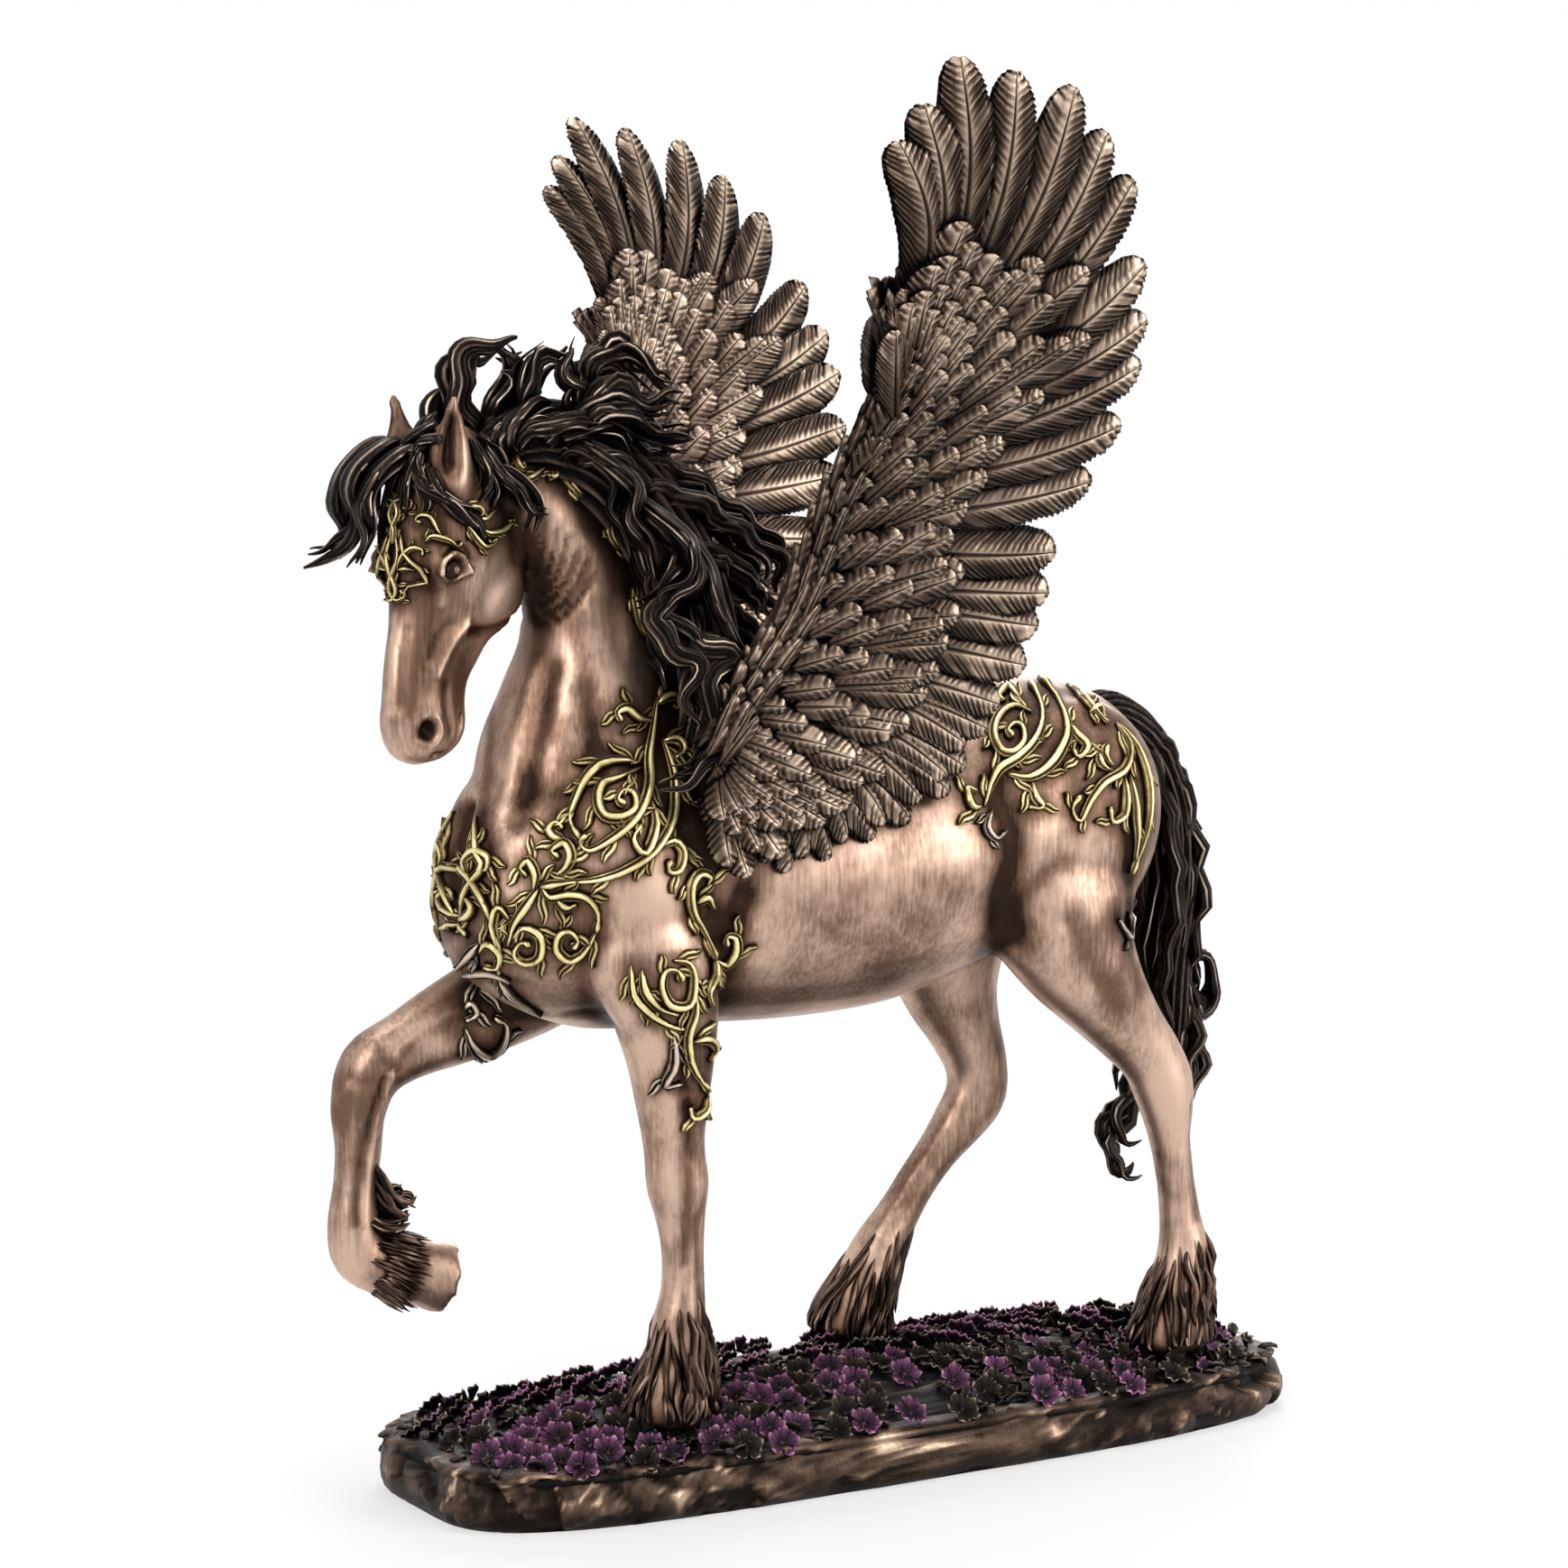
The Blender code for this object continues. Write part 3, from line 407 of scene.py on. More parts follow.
def seen_line(skin, path, steps):
    """A line of the frame's points laid on the skin, without the points that miss it."""
    places = [seen_on_skin(skin, *spot) for spot in smooth_path(path, steps)]
    return [place for place in places if place is not None]


def swelling(mesh, points, normals, rounds):
    """How far each point stands out from the smoothed skin round it."""
    ends = np.empty(len(mesh.edges) * 2, np.int64)
    mesh.edges.foreach_get("vertices", ends)
    a, b = np.concatenate([ends[::2], ends[1::2]]), np.concatenate([ends[1::2], ends[::2]])
    near = np.bincount(a, minlength=len(points)).clip(1)[:, None]
    smooth = points.copy()
    for _ in range(rounds):
        total = [np.bincount(a, smooth[b, k], len(points)) for k in range(3)]
        smooth = np.stack(total, -1) / near
    return ((points - smooth) * normals).sum(1)


def dent(points, centre, size, depth):
    """How far in the skin goes round a centre: a soft round dent."""
    away = ((points - np.array(centre)) / np.array(size)) ** 2
    return -depth * np.exp(-away.sum(1))


def crease(points, path, width, depth, reach=6.0):
    """A groove of the given width along a path on the skin. A negative depth is a ridge."""
    path = smooth_path(path, 5)
    move = np.zeros(len(points))
    near = np.all((points > path.min(0) - reach) & (points < path.max(0) + reach), axis=1)
    if not near.any():
        return move
    some = points[near]
    best = np.full(len(some), 1e9)
    for a, b in zip(path, path[1:]):
        run = b - a
        t = np.clip(((some - a) @ run) / (run @ run + 1e-9), 0, 1)
        best = np.minimum(best, np.linalg.norm(some - a - t[:, None] * run, axis=1))
    move[near] = -depth * np.exp(-((best / width) ** 2))
    return move


# Lines of the face in points of the camera's frame, down to the chin: path, width, depth.
HEAD_LINES = [
    ([(519, 693), (506, 708), (496, 726), (486, 748)], 1.0, -0.5),
    ([(500, 612), (494, 628), (492, 650), (490, 668)], 1.2, -0.5),
    ([(585, 640), (584, 664), (567, 688), (545, 698), (524, 700)], 1.2, 1.0),
    ([(482, 838), (498, 832), (509, 812), (512, 794)], 0.7, 1.2),
    ([(450, 700), (446, 740), (444, 780)], 1.4, 0.4),
    ([(474, 745), (470, 775), (466, 792)], 1.4, 0.35),
    ([(494, 760), (496, 790), (500, 812)], 1.2, 0.4),
    ([(500, 690), (488, 700), (480, 714), (476, 730)], 0.9, 0.3),
]
EAR_HOLLOW = [(497, 515), (499, 498), (500, 482), (500, 468)]
# Places round the eye and the nostril, in millimetres back and up from them.
UPPER_LID = [(-4.0, -1.2), (-2.8, 2.2), (0.4, 3.4), (3.6, 1.8), (4.6, -0.6)]
LOWER_LID = [(-4.0, -1.2), (-1.8, -3.0), (1.6, -2.9), (4.4, -0.8)]
NOSTRIL_RIM = [(-0.6, 3.0), (1.9, 2.2), (2.6, -0.4), (1.4, -2.6), (-0.8, -2.6)]
NOSTRIL_FOLD = [(-1.6, 1.4), (-1.0, -0.4)]


def carve_head(points, skin):
    """Eyes, nostrils, lips, cheeks and ears, drawn on the straight head."""
    p = unturned(points)
    move = np.zeros(len(p))
    on_head = (p[:, 2] > 154) & (p[:, 0] < -80)
    p = p[on_head]
    out = np.zeros(len(p))

    def seen(across, down):
        place = seen_on_skin(skin, across, down)
        if place is None:
            raise ValueError(f"nothing on the skin at {across}, {down} of the frame")
        return unturned(place)

    def there(side, spot, back=0, up=0):
        """The place beside a spot of the near side, on the given side of the head."""
        spot = (spot[0] + back, BODY_Y + side * abs(spot[1] - BODY_Y), spot[2] + up)
        return unturned(snapped(skin, turned(np.array(spot)))[0])

    def round_spot(side, spot, shifts):
        return [there(side, spot, back, up) for back, up in shifts]

    eye, nostril = seen(*EYE_SPOT), seen(*NOSTRIL_SPOT)
    for side in (-1, 1):
        upper, lower = round_spot(side, eye, UPPER_LID), round_spot(side, eye, LOWER_LID)
        out += dent(p, there(side, eye), (3.2, 4, 2.6), 2.8)
        out += crease(p, upper, 0.7, -1.2) + crease(p, lower, 0.6, -0.9)
        out += crease(p, [there(side, spot, 0, 1.7) for spot in upper[1:]], 0.6, 0.8)
        out += dent(p, there(side, nostril), (1.8, 3, 2.5), 3.4)
        out += crease(p, round_spot(side, nostril, NOSTRIL_RIM), 0.8, -0.8)
        out += crease(p, round_spot(side, nostril, NOSTRIL_FOLD), 0.8, -0.5)
        for path, width, depth in HEAD_LINES:
            out += crease(p, [there(side, seen(a, b)) for a, b in path], width, depth)
        out += crease(p, [there(side, seen(a, b)) for a, b in EAR_HOLLOW], 2.5, 3.0)
    move[on_head] = out
    return move


# Folds of skin behind the jaw, in points of the camera's frame.
NECK_WRINKLES = [
    [(586, 640), (594, 612), (596, 585), (590, 562)],
    [(587, 650), (600, 622), (605, 596), (604, 572)],
    [(588, 660), (606, 634), (614, 608), (616, 586)],
    [(588, 670), (610, 648), (623, 622), (630, 598)],
    [(590, 679), (614, 661), (632, 636), (642, 612)],
    [(592, 687), (620, 672), (641, 648), (652, 622)],
    [(597, 693), (622, 683), (644, 662), (656, 640)],
    [(586, 630), (588, 606), (586, 580)],
]
# Grooves between muscles, in millimetres: path, width, depth.
FLESH_GROOVES = [
    ([(-79, -10, 178), (-84, -12, 162), (-88, -14, 148)], 3.0, 1.2),
    ([(-70, -16, 172), (-72, -20, 158), (-78, -20, 146)], 3.4, 0.9),
    ([(-93, 2, 148), (-95, 2, 138), (-94, 2, 124)], 2.2, 1.6),
    ([(-40, -27, 128), (-44, -27, 118), (-47, -25, 110)], 3.0, 1.2),
    ([(-48, -28, 158), (-42, -30, 144), (-40, -30, 130)], 3.5, 0.9),
    ([(22, -28, 150), (26, -28, 136), (24, -27, 124), (30, -24, 112)], 4.0, 1.4),
    ([(56, -26, 138), (58, -25, 124), (57, -24, 112), (60, -22, 100)], 2.4, 1.0),
    ([(40, -27, 118), (46, -26, 108), (54, -24, 98)], 2.6, 0.8),
    ([(-56, -24, 96), (-53, -25, 84), (-51, -24, 74)], 1.6, 0.7),
    ([(-48, -24, 60), (-46.5, -24, 48), (-46.5, -23.5, 38)], 1.3, 0.7),
    ([(80, -22, 72), (80.5, -21, 58), (81, -21, 46)], 1.3, 0.7),
    ([(-60, -24, 108), (-66, -22, 100), (-72, -8, 104)], 2.0, 0.6),
]
# Tendons and the knee of the raised leg, in points of the camera's frame: path, width, depth.
LEG_LINES = [
    ([(425, 1200), (408, 1250), (398, 1299), (395, 1356)], 0.9, 0.6),
    ([(433, 1196), (417, 1250), (407, 1300), (404, 1352)], 0.9, -0.5),
    ([(424, 1166), (428, 1180), (441, 1186)], 0.9, 0.7),
    ([(384, 1190), (396, 1200), (412, 1196)], 1.0, 0.4),
    ([(446, 1168), (470, 1146), (500, 1130)], 1.2, 0.6),
    ([(386, 1215), (379, 1270), (374, 1330)], 0.9, 0.3),
]
# Strokes on neck, face and legs, in points of the camera's frame: path, width, strength. A positive
# strength darkens, as dark wash and painted shade; a negative one lightens, as painted highlight.
WASH_SHADE_AND_HIGHLIGHT_STROKES = [
    ([(592, 690), (602, 745), (612, 800), (622, 850), (620, 900)], 2.6, 0.26),
    ([(632, 672), (645, 735), (655, 800), (664, 850), (676, 900)], 2.0, 0.26),
    ([(545, 790), (541, 850), (536, 905), (545, 950)], 1.6, 0.25),
    ([(566, 780), (562, 840), (560, 900)], 2.0, -0.2),
    ([(482, 655), (474, 700), (465, 750), (458, 785)], 2.6, 0.2),
    ([(437, 680), (435, 740), (432, 790)], 1.0, -0.25),
    ([(478, 740), (472, 775), (469, 792)], 1.3, -0.25),
    ([(560, 640), (552, 668), (536, 688)], 3.2, -0.2),
    ([(425, 1195), (408, 1250), (398, 1299), (395, 1356)], 0.8, 0.3),
    ([(435, 1190), (418, 1250), (408, 1300), (404, 1352)], 0.8, -0.35),
    ([(500, 1120), (470, 1140), (440, 1160)], 1.8, -0.25),
    ([(735, 1160), (742, 1230), (745, 1300), (742, 1370)], 1.6, -0.2),
    ([(760, 1200), (764, 1270), (762, 1340), (758, 1400)], 1.0, 0.25),
]


def carve_body(points, skin):
    """Creases of skin and muscle, on both sides of the horse."""
    mirror = points * (1, -1, 1) + (0, 2 * BODY_Y, 0)
    move = np.zeros(len(points))
    for path in NECK_WRINKLES:
        path = seen_line(skin, path, 4)
        for sided in (points, mirror):
            move += crease(sided, path, 0.7, 1.0)
    for path, width, depth in LEG_LINES:
        move += crease(points, seen_line(skin, path, 3), width, depth)
    for path, width, depth in FLESH_GROOVES:
        path = [snapped(skin, spot)[0] for spot in smooth_path(path, 4)]
        for sided in (points, mirror):
            move += crease(sided, path, width, depth, reach=10)
    return move


def snapped(skin, spot):
    """The nearest place on the skin and its outward direction."""
    place, normal, _, _ = skin.find_nearest(Vector(spot) * MM)
    return np.array(place) / MM, np.array(normal)


def refine_face(mesh):
    """Smaller faces on the front of the head, where its lines are cut."""
    bm = bmesh.new()
    bm.from_mesh(mesh)
    fine = [
        e for e in bm.edges
        if all(v.co.z > 0.157 and unturned(np.array(v.co[:]) / MM)[0] < -93 for v in e.verts)
    ]
    bmesh.ops.subdivide_edges(bm, edges=fine, cuts=1, use_grid_fill=True, smooth=0.4)
    bmesh.ops.triangulate(bm, faces=[f for f in bm.faces if len(f.verts) > 4])
    bm.to_mesh(mesh)
    bm.free()


def horse_skin(material):
    """The horse's flesh, melted together and carved, and the place of its eye."""
    points, faces, _ = joined([torso(), neck(), *head(), *muscles(), *legs()])
    body = raw_object("horse_skin", points, faces)
    melt = body.modifiers.new("melt", "REMESH")
    melt.mode = "VOXEL"
    melt.voxel_size = SKIN_VOXEL * MM
    soften = body.modifiers.new("soften", "SMOOTH")
    soften.factor = 0.5
    soften.iterations = 8
    apply_modifiers(body)
    refine_face(body.data)
    points, normals = mesh_points(body.data), mesh_normals(body.data)
    skin = skin_tree(body)
    features, flesh = carve_head(points, skin), carve_body(points, skin)
    move = features + flesh
    points = points + normals * move[:, None]
    body.data.vertices.foreach_set("co", (points * MM).ravel())
    # Paler on swellings and carved ridges, darker in carved grooves and dents: worn metal and dark
    # wash, and also painted highlight and painted shade.
    rub_and_highlight = np.tanh(swelling(body.data, points, normals, 120) / 0.6)
    relief_and_light = 0.44 + 0.3 * rub_and_highlight + features * 0.34 + flesh * 0.3
    for path, width, strength in WASH_SHADE_AND_HIGHLIGHT_STROKES:
        relief_and_light += crease(points, seen_line(skin, path, 3), width, strength, reach=10)
    set_relief_and_light(body.data, np.clip(relief_and_light, 0.03, 1))
    return finished(body, material), unturned(seen_on_skin(skin, *EYE_SPOT))


def eyes(material, eye):
    """Two glossy dark eyeballs under their lids, each with a raised pupil at full brightness: worn
    metal and a painted glint.
    """
    chunks = []
    x, out, z = eye[0], abs(eye[1] - BODY_Y), eye[2]
    for side in (-1, 1):
        for stand, radii, tone in ((-1.5, (2.3, 1.9, 2.0), 0.12), (-0.1, (0.85, 0.8, 0.9), 1.0)):
            points, faces, shade = muscle((x, BODY_Y + side * (out + stand), z), radii)
            chunks.append((turned(points), faces, shade * 0 + tone))
    piece_from("eyes", chunks, material)


# Wings

# Stations along the wing: a place on the arm, the tip of the longest covert and the tip of the
# flight feather, as shares of the chord behind the root and of the span above it.
WING_FAN = [
    ((0.25, 0.62), (0.30, 0.68), (0.11, 0.87)),
    ((0.28, 0.59), (0.44, 0.70), (0.26, 0.98)),
    ((0.28, 0.56), (0.62, 0.72), (0.66, 0.95)),
    ((0.27, 0.52), (0.82, 0.71), (0.90, 0.85)),
    ((0.23, 0.47), (0.86, 0.62), (1.09, 0.65)),
    ((0.18, 0.41), (0.66, 0.47), (1.10, 0.50)),
    ((0.14, 0.33), (0.58, 0.36), (0.97, 0.33)),
    ((0.10, 0.24), (0.62, 0.25), (0.94, 0.19)),
    ((0.02, 0.17), (0.57, 0.14), (0.83, 0.075)),
    ((-0.07, 0.11), (0.43, 0.02), (0.57, -0.05)),
    ((-0.11, 0.07), (0.20, -0.02), (0.28, -0.09)),
    ((-0.13, 0.055), (0.0, -0.035), (-0.02, -0.09)),
    ((-0.15, 0.045), (-0.15, -0.02), (-0.18, -0.055)),
]
FLIGHT_TIPS = [
    (0.113, 0.873), (0.169, 0.92), (0.257, 0.98), (0.455, 0.964), (0.665, 0.946),
    (0.809, 0.89), (0.938, 0.83), (1.048, 0.719), (1.099, 0.644), (1.116, 0.583),
    (1.096, 0.5), (1.035, 0.423), (0.962, 0.324), (0.967, 0.266), (0.951, 0.219),
    (0.932, 0.163), (0.853, 0.109), (0.823, 0.074), (0.753, 0.021), (0.7, -0.013),
    (0.562, -0.05), (0.439, -0.069), (0.285, -0.092), (0.141, -0.106), (0.017, -0.097),
    (-0.081, -0.064), (-0.183, -0.008),
]
COVERT_TIPS = [
    (0.336, 0.678), (0.425, 0.693), (0.548, 0.705), (0.653, 0.726), (0.82, 0.715),
    (0.878, 0.626), (0.76, 0.55), (0.66, 0.486), (0.626, 0.44), (0.581, 0.4),
    (0.553, 0.355), (0.615, 0.31), (0.632, 0.249), (0.611, 0.21), (0.589, 0.17),
    (0.561, 0.14), (0.51, 0.097), (0.439, 0.029), (0.331, -0.013), (0.236, -0.04),
    (0.12, -0.045), (0.0, -0.04), (-0.1, -0.03),
]


def wing_place(x, h, lift, side):
    """Points of the wing: h runs up from its root, lift stands off its middle sheet.

    Low down the sheet lies on the horse's flank, and above it leans outwards.
    """
    x, h, lift = np.broadcast_arrays(np.asarray(x, float), h, lift)
    flank = BODY_WIDTH / 2 - 0.5
    leaning = BODY_WIDTH / 2 - 7 + h * math.sin(WING_LEAN)
    blend = 6.0
    lift = lift - 1.4 * np.clip((h - 100) / 60, 0, 1)
    out = blend * np.logaddexp(flank / blend, leaning / blend) - blend * 0.3
    share = FAR_WING_SHARE if side > 0 else 1.0
    high = np.where(h > 0, h * share, h)
    z = BODY_Z + 18.5 + high * math.cos(WING_LEAN)
    steep = np.clip(h / 12.0 + 0.5, 0, 1)
    normal_y = 1 + (math.cos(WING_LEAN) - 1) * steep
    normal_z = -math.sin(WING_LEAN) * steep
    x = WING_ROOT_X + (x - WING_ROOT_X) * share
    return np.stack([x, BODY_Y + side * (out + normal_y * lift), z + normal_z * lift], -1)


def wing_spots(shares):
    """Places (x, h) on the wing, from shares of its chord and span."""
    return np.array([(x * WING_CHORD + WING_ROOT_X, h * WING_SPAN) for x, h in shares])


ARM, COVERTS, TIPS = (smooth_path(wing_spots(column), 8) for column in zip(*WING_FAN))


def nearest_place(curve, spot):
    """The number of the curve's point that is nearest."""
    return int(np.argmin(((curve - spot) ** 2).sum(1)))


# Columns of a feather's vane, from one edge over the quill to the other.
VANE = np.array([-1, -0.72, -0.4, -0.12, 0, 0.12, 0.4, 0.72, 1.0])
QUILL = np.array([0, 0, 0, 1.0, 0.25, 1.0, 0, 0, 0])
GROOVE = np.array([1.0, 1.0, 0.6, 0, 0, 0, 0.6, 1.0, 1.0])
BACK_COLUMNS = [6, 2]


def barb_rows(rows):
    """Raised and sunk rows of barbs by turns, some of them run together."""
    level = []
    for k in range(rows):
        if k % 2:
            level.append(rng.uniform(0.6, 1.0))
        else:
            level.append(rng.uniform(0.0, 0.25) if rng.random() < 0.8 else rng.uniform(0.4, 0.7))
    return np.array(level)[:, None]


def feather(base, tip, width, side, face=1, level=0.0, thick=1.6, bend=0.0, tilt=0.12,
            curl=0.0, barb=0.6, depth=0.3, small=False, crown=1.0, quill=0.8, sink=0.0):
    """A feather whose barbs run outwards to its tip. Base and tip are (x, h) on the wing.

    Face 1 turns its front away from the horse, and -1 towards the other wing. A small feather
    has a rounder tip and a plain back, which lies on the wing.
    """
    start, end = np.array(base, float), np.array(tip, float)
    run = end - start
    length = np.linalg.norm(run)
    rows = max(9, int(length / barb))
    across = np.array([-run[1], run[0]]) / length
    t = np.linspace(0, 1, rows)
    t[1:-1] += np.array([rng.uniform(-0.25, 0.25) for _ in range(rows - 2)]) / rows
    t[-1] = 0.996
    sweep = min(0.3, 1.75 * width / 2 / length)
    edge_t = np.clip(t + sweep * (1 - t**2.5), 0, 1)
    if small:
        share = np.interp(edge_t, [0, 0.3, 0.6, 0.75, 0.86, 0.93, 0.97, 1.0],
                          [0.55, 0.88, 1.0, 0.95, 0.8, 0.62, 0.42, 0.14])
    else:
        share = np.interp(edge_t, [0, 0.25, 0.6, 0.82, 0.92, 0.97, 1.0],
                          [0.5, 0.78, 1.0, 0.92, 0.74, 0.5, 0.16])
    u = VANE[None, :]
    size = np.abs(u)
    barbs = np.where(u < 0, barb_rows(rows), barb_rows(rows))
    place = t[:, None] * (1 - size) + edge_t[:, None] * size
    notch = np.where(size > 0.9, 1 - 0.1 * (1 - barbs), 1)
    narrow = np.where(size < 0.2, 1.25 - 0.8 * place, 1)
    d = u * narrow * (width / 2 * share)[:, None] * notch
    bow = bend * np.sin(math.pi * place)
    x = start[0] + run[0] * place + across[0] * (d + bow)
    h = start[1] + run[1] * place + across[1] * (d + bow)
    swell = (1 - size**2.2) * crown * (1 - 0.85 * np.clip(place * 2 - 1, 0, 1) ** 2.5)
    rib = QUILL[None, :] * quill * (1 - 0.5 * place)
    cut = (barbs - 0.75) * depth * GROOVE[None, :]
    lift = curl * np.clip((place - 0.62) / 0.38, 0, 1) ** 1.6 - tilt * d * face - sink * (1 - place)
    rise = swell + thick * 0.25 + cut + rib + lift
    shade = (0.02 + 0.93 * barbs) * GROOVE[None, :] + 0.55 * (1 - GROOVE[None, :])
    shade = np.where(size == 0, 0.12, shade) + QUILL[None, :] * 0.3
    # Darker towards the base, where the next feathers cover it, as painted shade; a bright rim at
    # the tip and along the outer edge is painted highlight.
    rim = np.clip((place - 0.9) / 0.1, 0, 1) + 0.6 * (size > 0.95) * np.clip(place * 3 - 1, 0, 1)
    shade = np.clip(shade * (0.5 + 0.5 * place) + 0.45 * rim, 0, 1)
    front = wing_place(x, h, face * (level + rise), side)
    if small:
        under = -0.4 * thick + lift - 0.1
        back = wing_place(x, h, face * (level + under), side)[:, BACK_COLUMNS]
        # The back that lies on the wing is darker, painted shade.
        back_shade = shade[:, BACK_COLUMNS] * 0.3
    else:
        under = -swell * 0.55 - thick * 0.25 - cut - rib * 0.8 + lift
        back = wing_place(x, h, face * (level + under), side)[:, 1:-1][:, ::-1]
        back_shade = shade[:, 1:-1][:, ::-1]
    rings = np.concatenate([front, back], axis=1)
    return tube(rings, np.concatenate([shade, back_shade], axis=1))


def flight_feathers(side):
    """The long feathers, doubled where they lie closest."""
    chunks = []
    tips = wing_spots(FLIGHT_TIPS) * (1, 0.995)
    count = len(tips)
    for i, tip in enumerate(tips):
        k = nearest_place(TIPS, tip)
        root = ARM[k] * 0.65 + COVERTS[k] * 0.35
        bend = -5.0 * math.cos(math.pi * i / (count - 1))
        width = 13.0 if i < 17 else 11.5
        chunks.append(feather(root, tip, width, side, bend=bend, tilt=0.2, thick=1.0,
                              crown=1.5, barb=0.9, depth=0.9, quill=0.7))
        if i > 16 and i + 1 < count:
            between = (tip + tips[i + 1]) / 2
            between = between + (root - between) * 0.08
            chunks.append(feather(root, between, 11.0, side, bend=bend, tilt=0.2, thick=1.0,
                                  level=0.7, crown=1.1, barb=0.95, depth=0.7, quill=0.6))
    return chunks


def sample(curve, place):
    """The curve between its numbered points."""
    place = min(max(place, 0), len(curve) - 1)
    k = min(int(place), len(curve) - 2)
    return curve[k] + (curve[k + 1] - curve[k]) * (place - k)


def barb_of(side, face):
    """The step from barb to barb, wider on the faces that look away from the camera."""
    return 0.85 if face == -side else 1.3


def covert_feathers(side, face):
    """Greater and median coverts on one face of the wing."""
    chunks = []
    barb = barb_of(side, face)
    tips = wing_spots(COVERT_TIPS)
    for i, tip in enumerate(tips):
        if face < 0 and tip[1] < 4:
            continue
        k = nearest_place(COVERTS, tip)
        root = ARM[k]
        chunks.append(feather(root + (tip - root) * 0.3, tip, 11.5, side, face, level=1.7,
                              thick=1.4, tilt=0.12 * face, curl=1.3, barb=barb, depth=0.7,
                              small=True, crown=1.5, sink=0.4))
        if i % 2:
            inner = root + (tip - root) * rng.uniform(0.82, 0.9)
            chunks.append(feather(root + (tip - root) * 0.3, inner + (0.0, 2.5), 8.5, side, face,
                                  level=2.3, thick=1.2, tilt=0.12 * face, curl=1.2, barb=barb,
                                  depth=0.6, small=True, crown=1.3))
    return chunks


# Rows of small feathers: how far behind the arm they start, length, width, level and number.
SMALL_ROWS = [
    (0.48, 16.0, 9.6, 2.4, 20), (0.32, 14.5, 9.0, 2.9, 21), (0.17, 13.0, 8.4, 3.3, 22),
    (0.03, 12.0, 8.0, 3.5, 23), (-0.1, 11.0, 7.6, 2.9, 24),
]


def small_feathers(side, face):
    """Rows of small feathers from the coverts forward to the wing's leading edge."""
    chunks = []
    for r, (start, length, width, level, count) in enumerate(SMALL_ROWS):
        for i in range(count):
            k = (i + 0.5 * (r % 2) + 0.25 + rng.uniform(-0.12, 0.12)) * (len(ARM) - 1) / count
            root, tip = sample(ARM, k), sample(COVERTS, k)
            if face < 0 and root[1] < 14:
                continue
            fan = (tip - root) / np.linalg.norm(tip - root)
            upward = sample(ARM, k - 2) - sample(ARM, k + 2)
            upward /= np.linalg.norm(upward)
            climb = 0.55 * float(np.clip((80 - k) / 30, 0, 1)) * (1 - start)
            way = fan * (1 - climb) + upward * climb
            way /= np.linalg.norm(way)
            far = np.linalg.norm(tip - root)
            base = root + fan * max(far, 22.0) * (start + rng.uniform(-0.02, 0.02))
            size = length * rng.uniform(0.9, 1.12)
            chunks.append(feather(base, base + way * size, width * rng.uniform(0.92, 1.1), side,
                                  face, level=level + rng.uniform(-0.2, 0.3), thick=1.4,
                                  tilt=0.1 * face, curl=1.5, barb=barb_of(side, face),
                                  depth=0.6, small=True, crown=1.4, quill=0.4, sink=1.0))
    return chunks


def edge_feathers(side):
    """Small feathers that wrap the leading edge, laid up along the arm."""
    chunks = []
    places, rows = 20, 11
    u = VANE[None, :]
    for turn in range(5):
        angle = math.radians(22 + 34 * turn)
        for i in range(places):
            k = 3 + (i + 0.5 * (turn % 2)) * 90 / places
            spot, ahead = sample(ARM, k), sample(ARM, k - 5)
            along = (ahead - spot) / np.linalg.norm(ahead - spot)
            out = np.array([along[1], -along[0]])
            if out[0] > 0:
                out = -out
            radius = 4.7 - 2.4 * (1 - k / 80)
            size = 14.0 * rng.uniform(0.9, 1.1)
            t = np.linspace(0, 1, rows)
            edge_t = np.clip(t + 0.3 * (1 - t**2.5), 0, 1)[:, None]
            place = t[:, None] * (1 - np.abs(u)) + edge_t * np.abs(u)
            half = np.interp(edge_t, [0, 0.3, 0.7, 0.9, 1.0], [0.5, 0.85, 1.0, 0.7, 0.2])
            barbs = np.where(u < 0, barb_rows(rows), barb_rows(rows)) * GROOVE
            a = angle + rng.uniform(-0.05, 0.05) + u * half * 0.52
            lift = -0.9 + 1.9 * place + (1 - u * u) * 1.1 + (barbs - 0.7) * 0.5 * GROOVE
            lift = lift + QUILL * 0.35
            shade = (0.02 + 0.93 * barbs) * GROOVE + 0.62 * (1 - GROOVE)
            shade = np.where(u == 0, 0.15, shade + QUILL * 0.3)
            # Darker at the base and brighter in a band at the tip: painted shade and painted
            # highlight.
            shade = np.clip(shade * (0.55 + 0.4 * place) + 0.35 * np.clip(place * 5 - 4, 0, 1),
                            0, 1)
            reach = radius + lift
            reach = np.concatenate([reach, reach[:, BACK_COLUMNS] - 2.2], axis=1)
            a = np.concatenate([a, a[:, BACK_COLUMNS]], axis=1)
            place = np.concatenate([place, place[:, BACK_COLUMNS]], axis=1)
            # The back columns are darker, painted shade.
            shade = np.concatenate([shade, shade[:, BACK_COLUMNS] * 0.3], axis=1)
            x = spot[0] + along[0] * size * place + out[0] * np.sin(a) * reach
            h = spot[1] + along[1] * size * place + out[1] * np.sin(a) * reach
            chunks.append(tube(wing_place(x, h, np.cos(a) * reach, side), shade))
    return chunks


def wrist_feathers(side):
    """A few stiff feathers at the top of the arm."""
    chunks = []
    for face in (1, -1):
        for base, tip, level in (
            ((0.26, 0.56), (0.20, 0.69), 2.4), ((0.28, 0.57), (0.27, 0.715), 2.0),
            ((0.25, 0.52), (0.19, 0.64), 3.0),
        ):
            a, b = wing_spots([base, tip])
            chunks.append(feather(a, b, 8.0, side, face, level=level, thick=1.6, curl=0.8,
                                  tilt=0.05 * face, small=True))
    return chunks


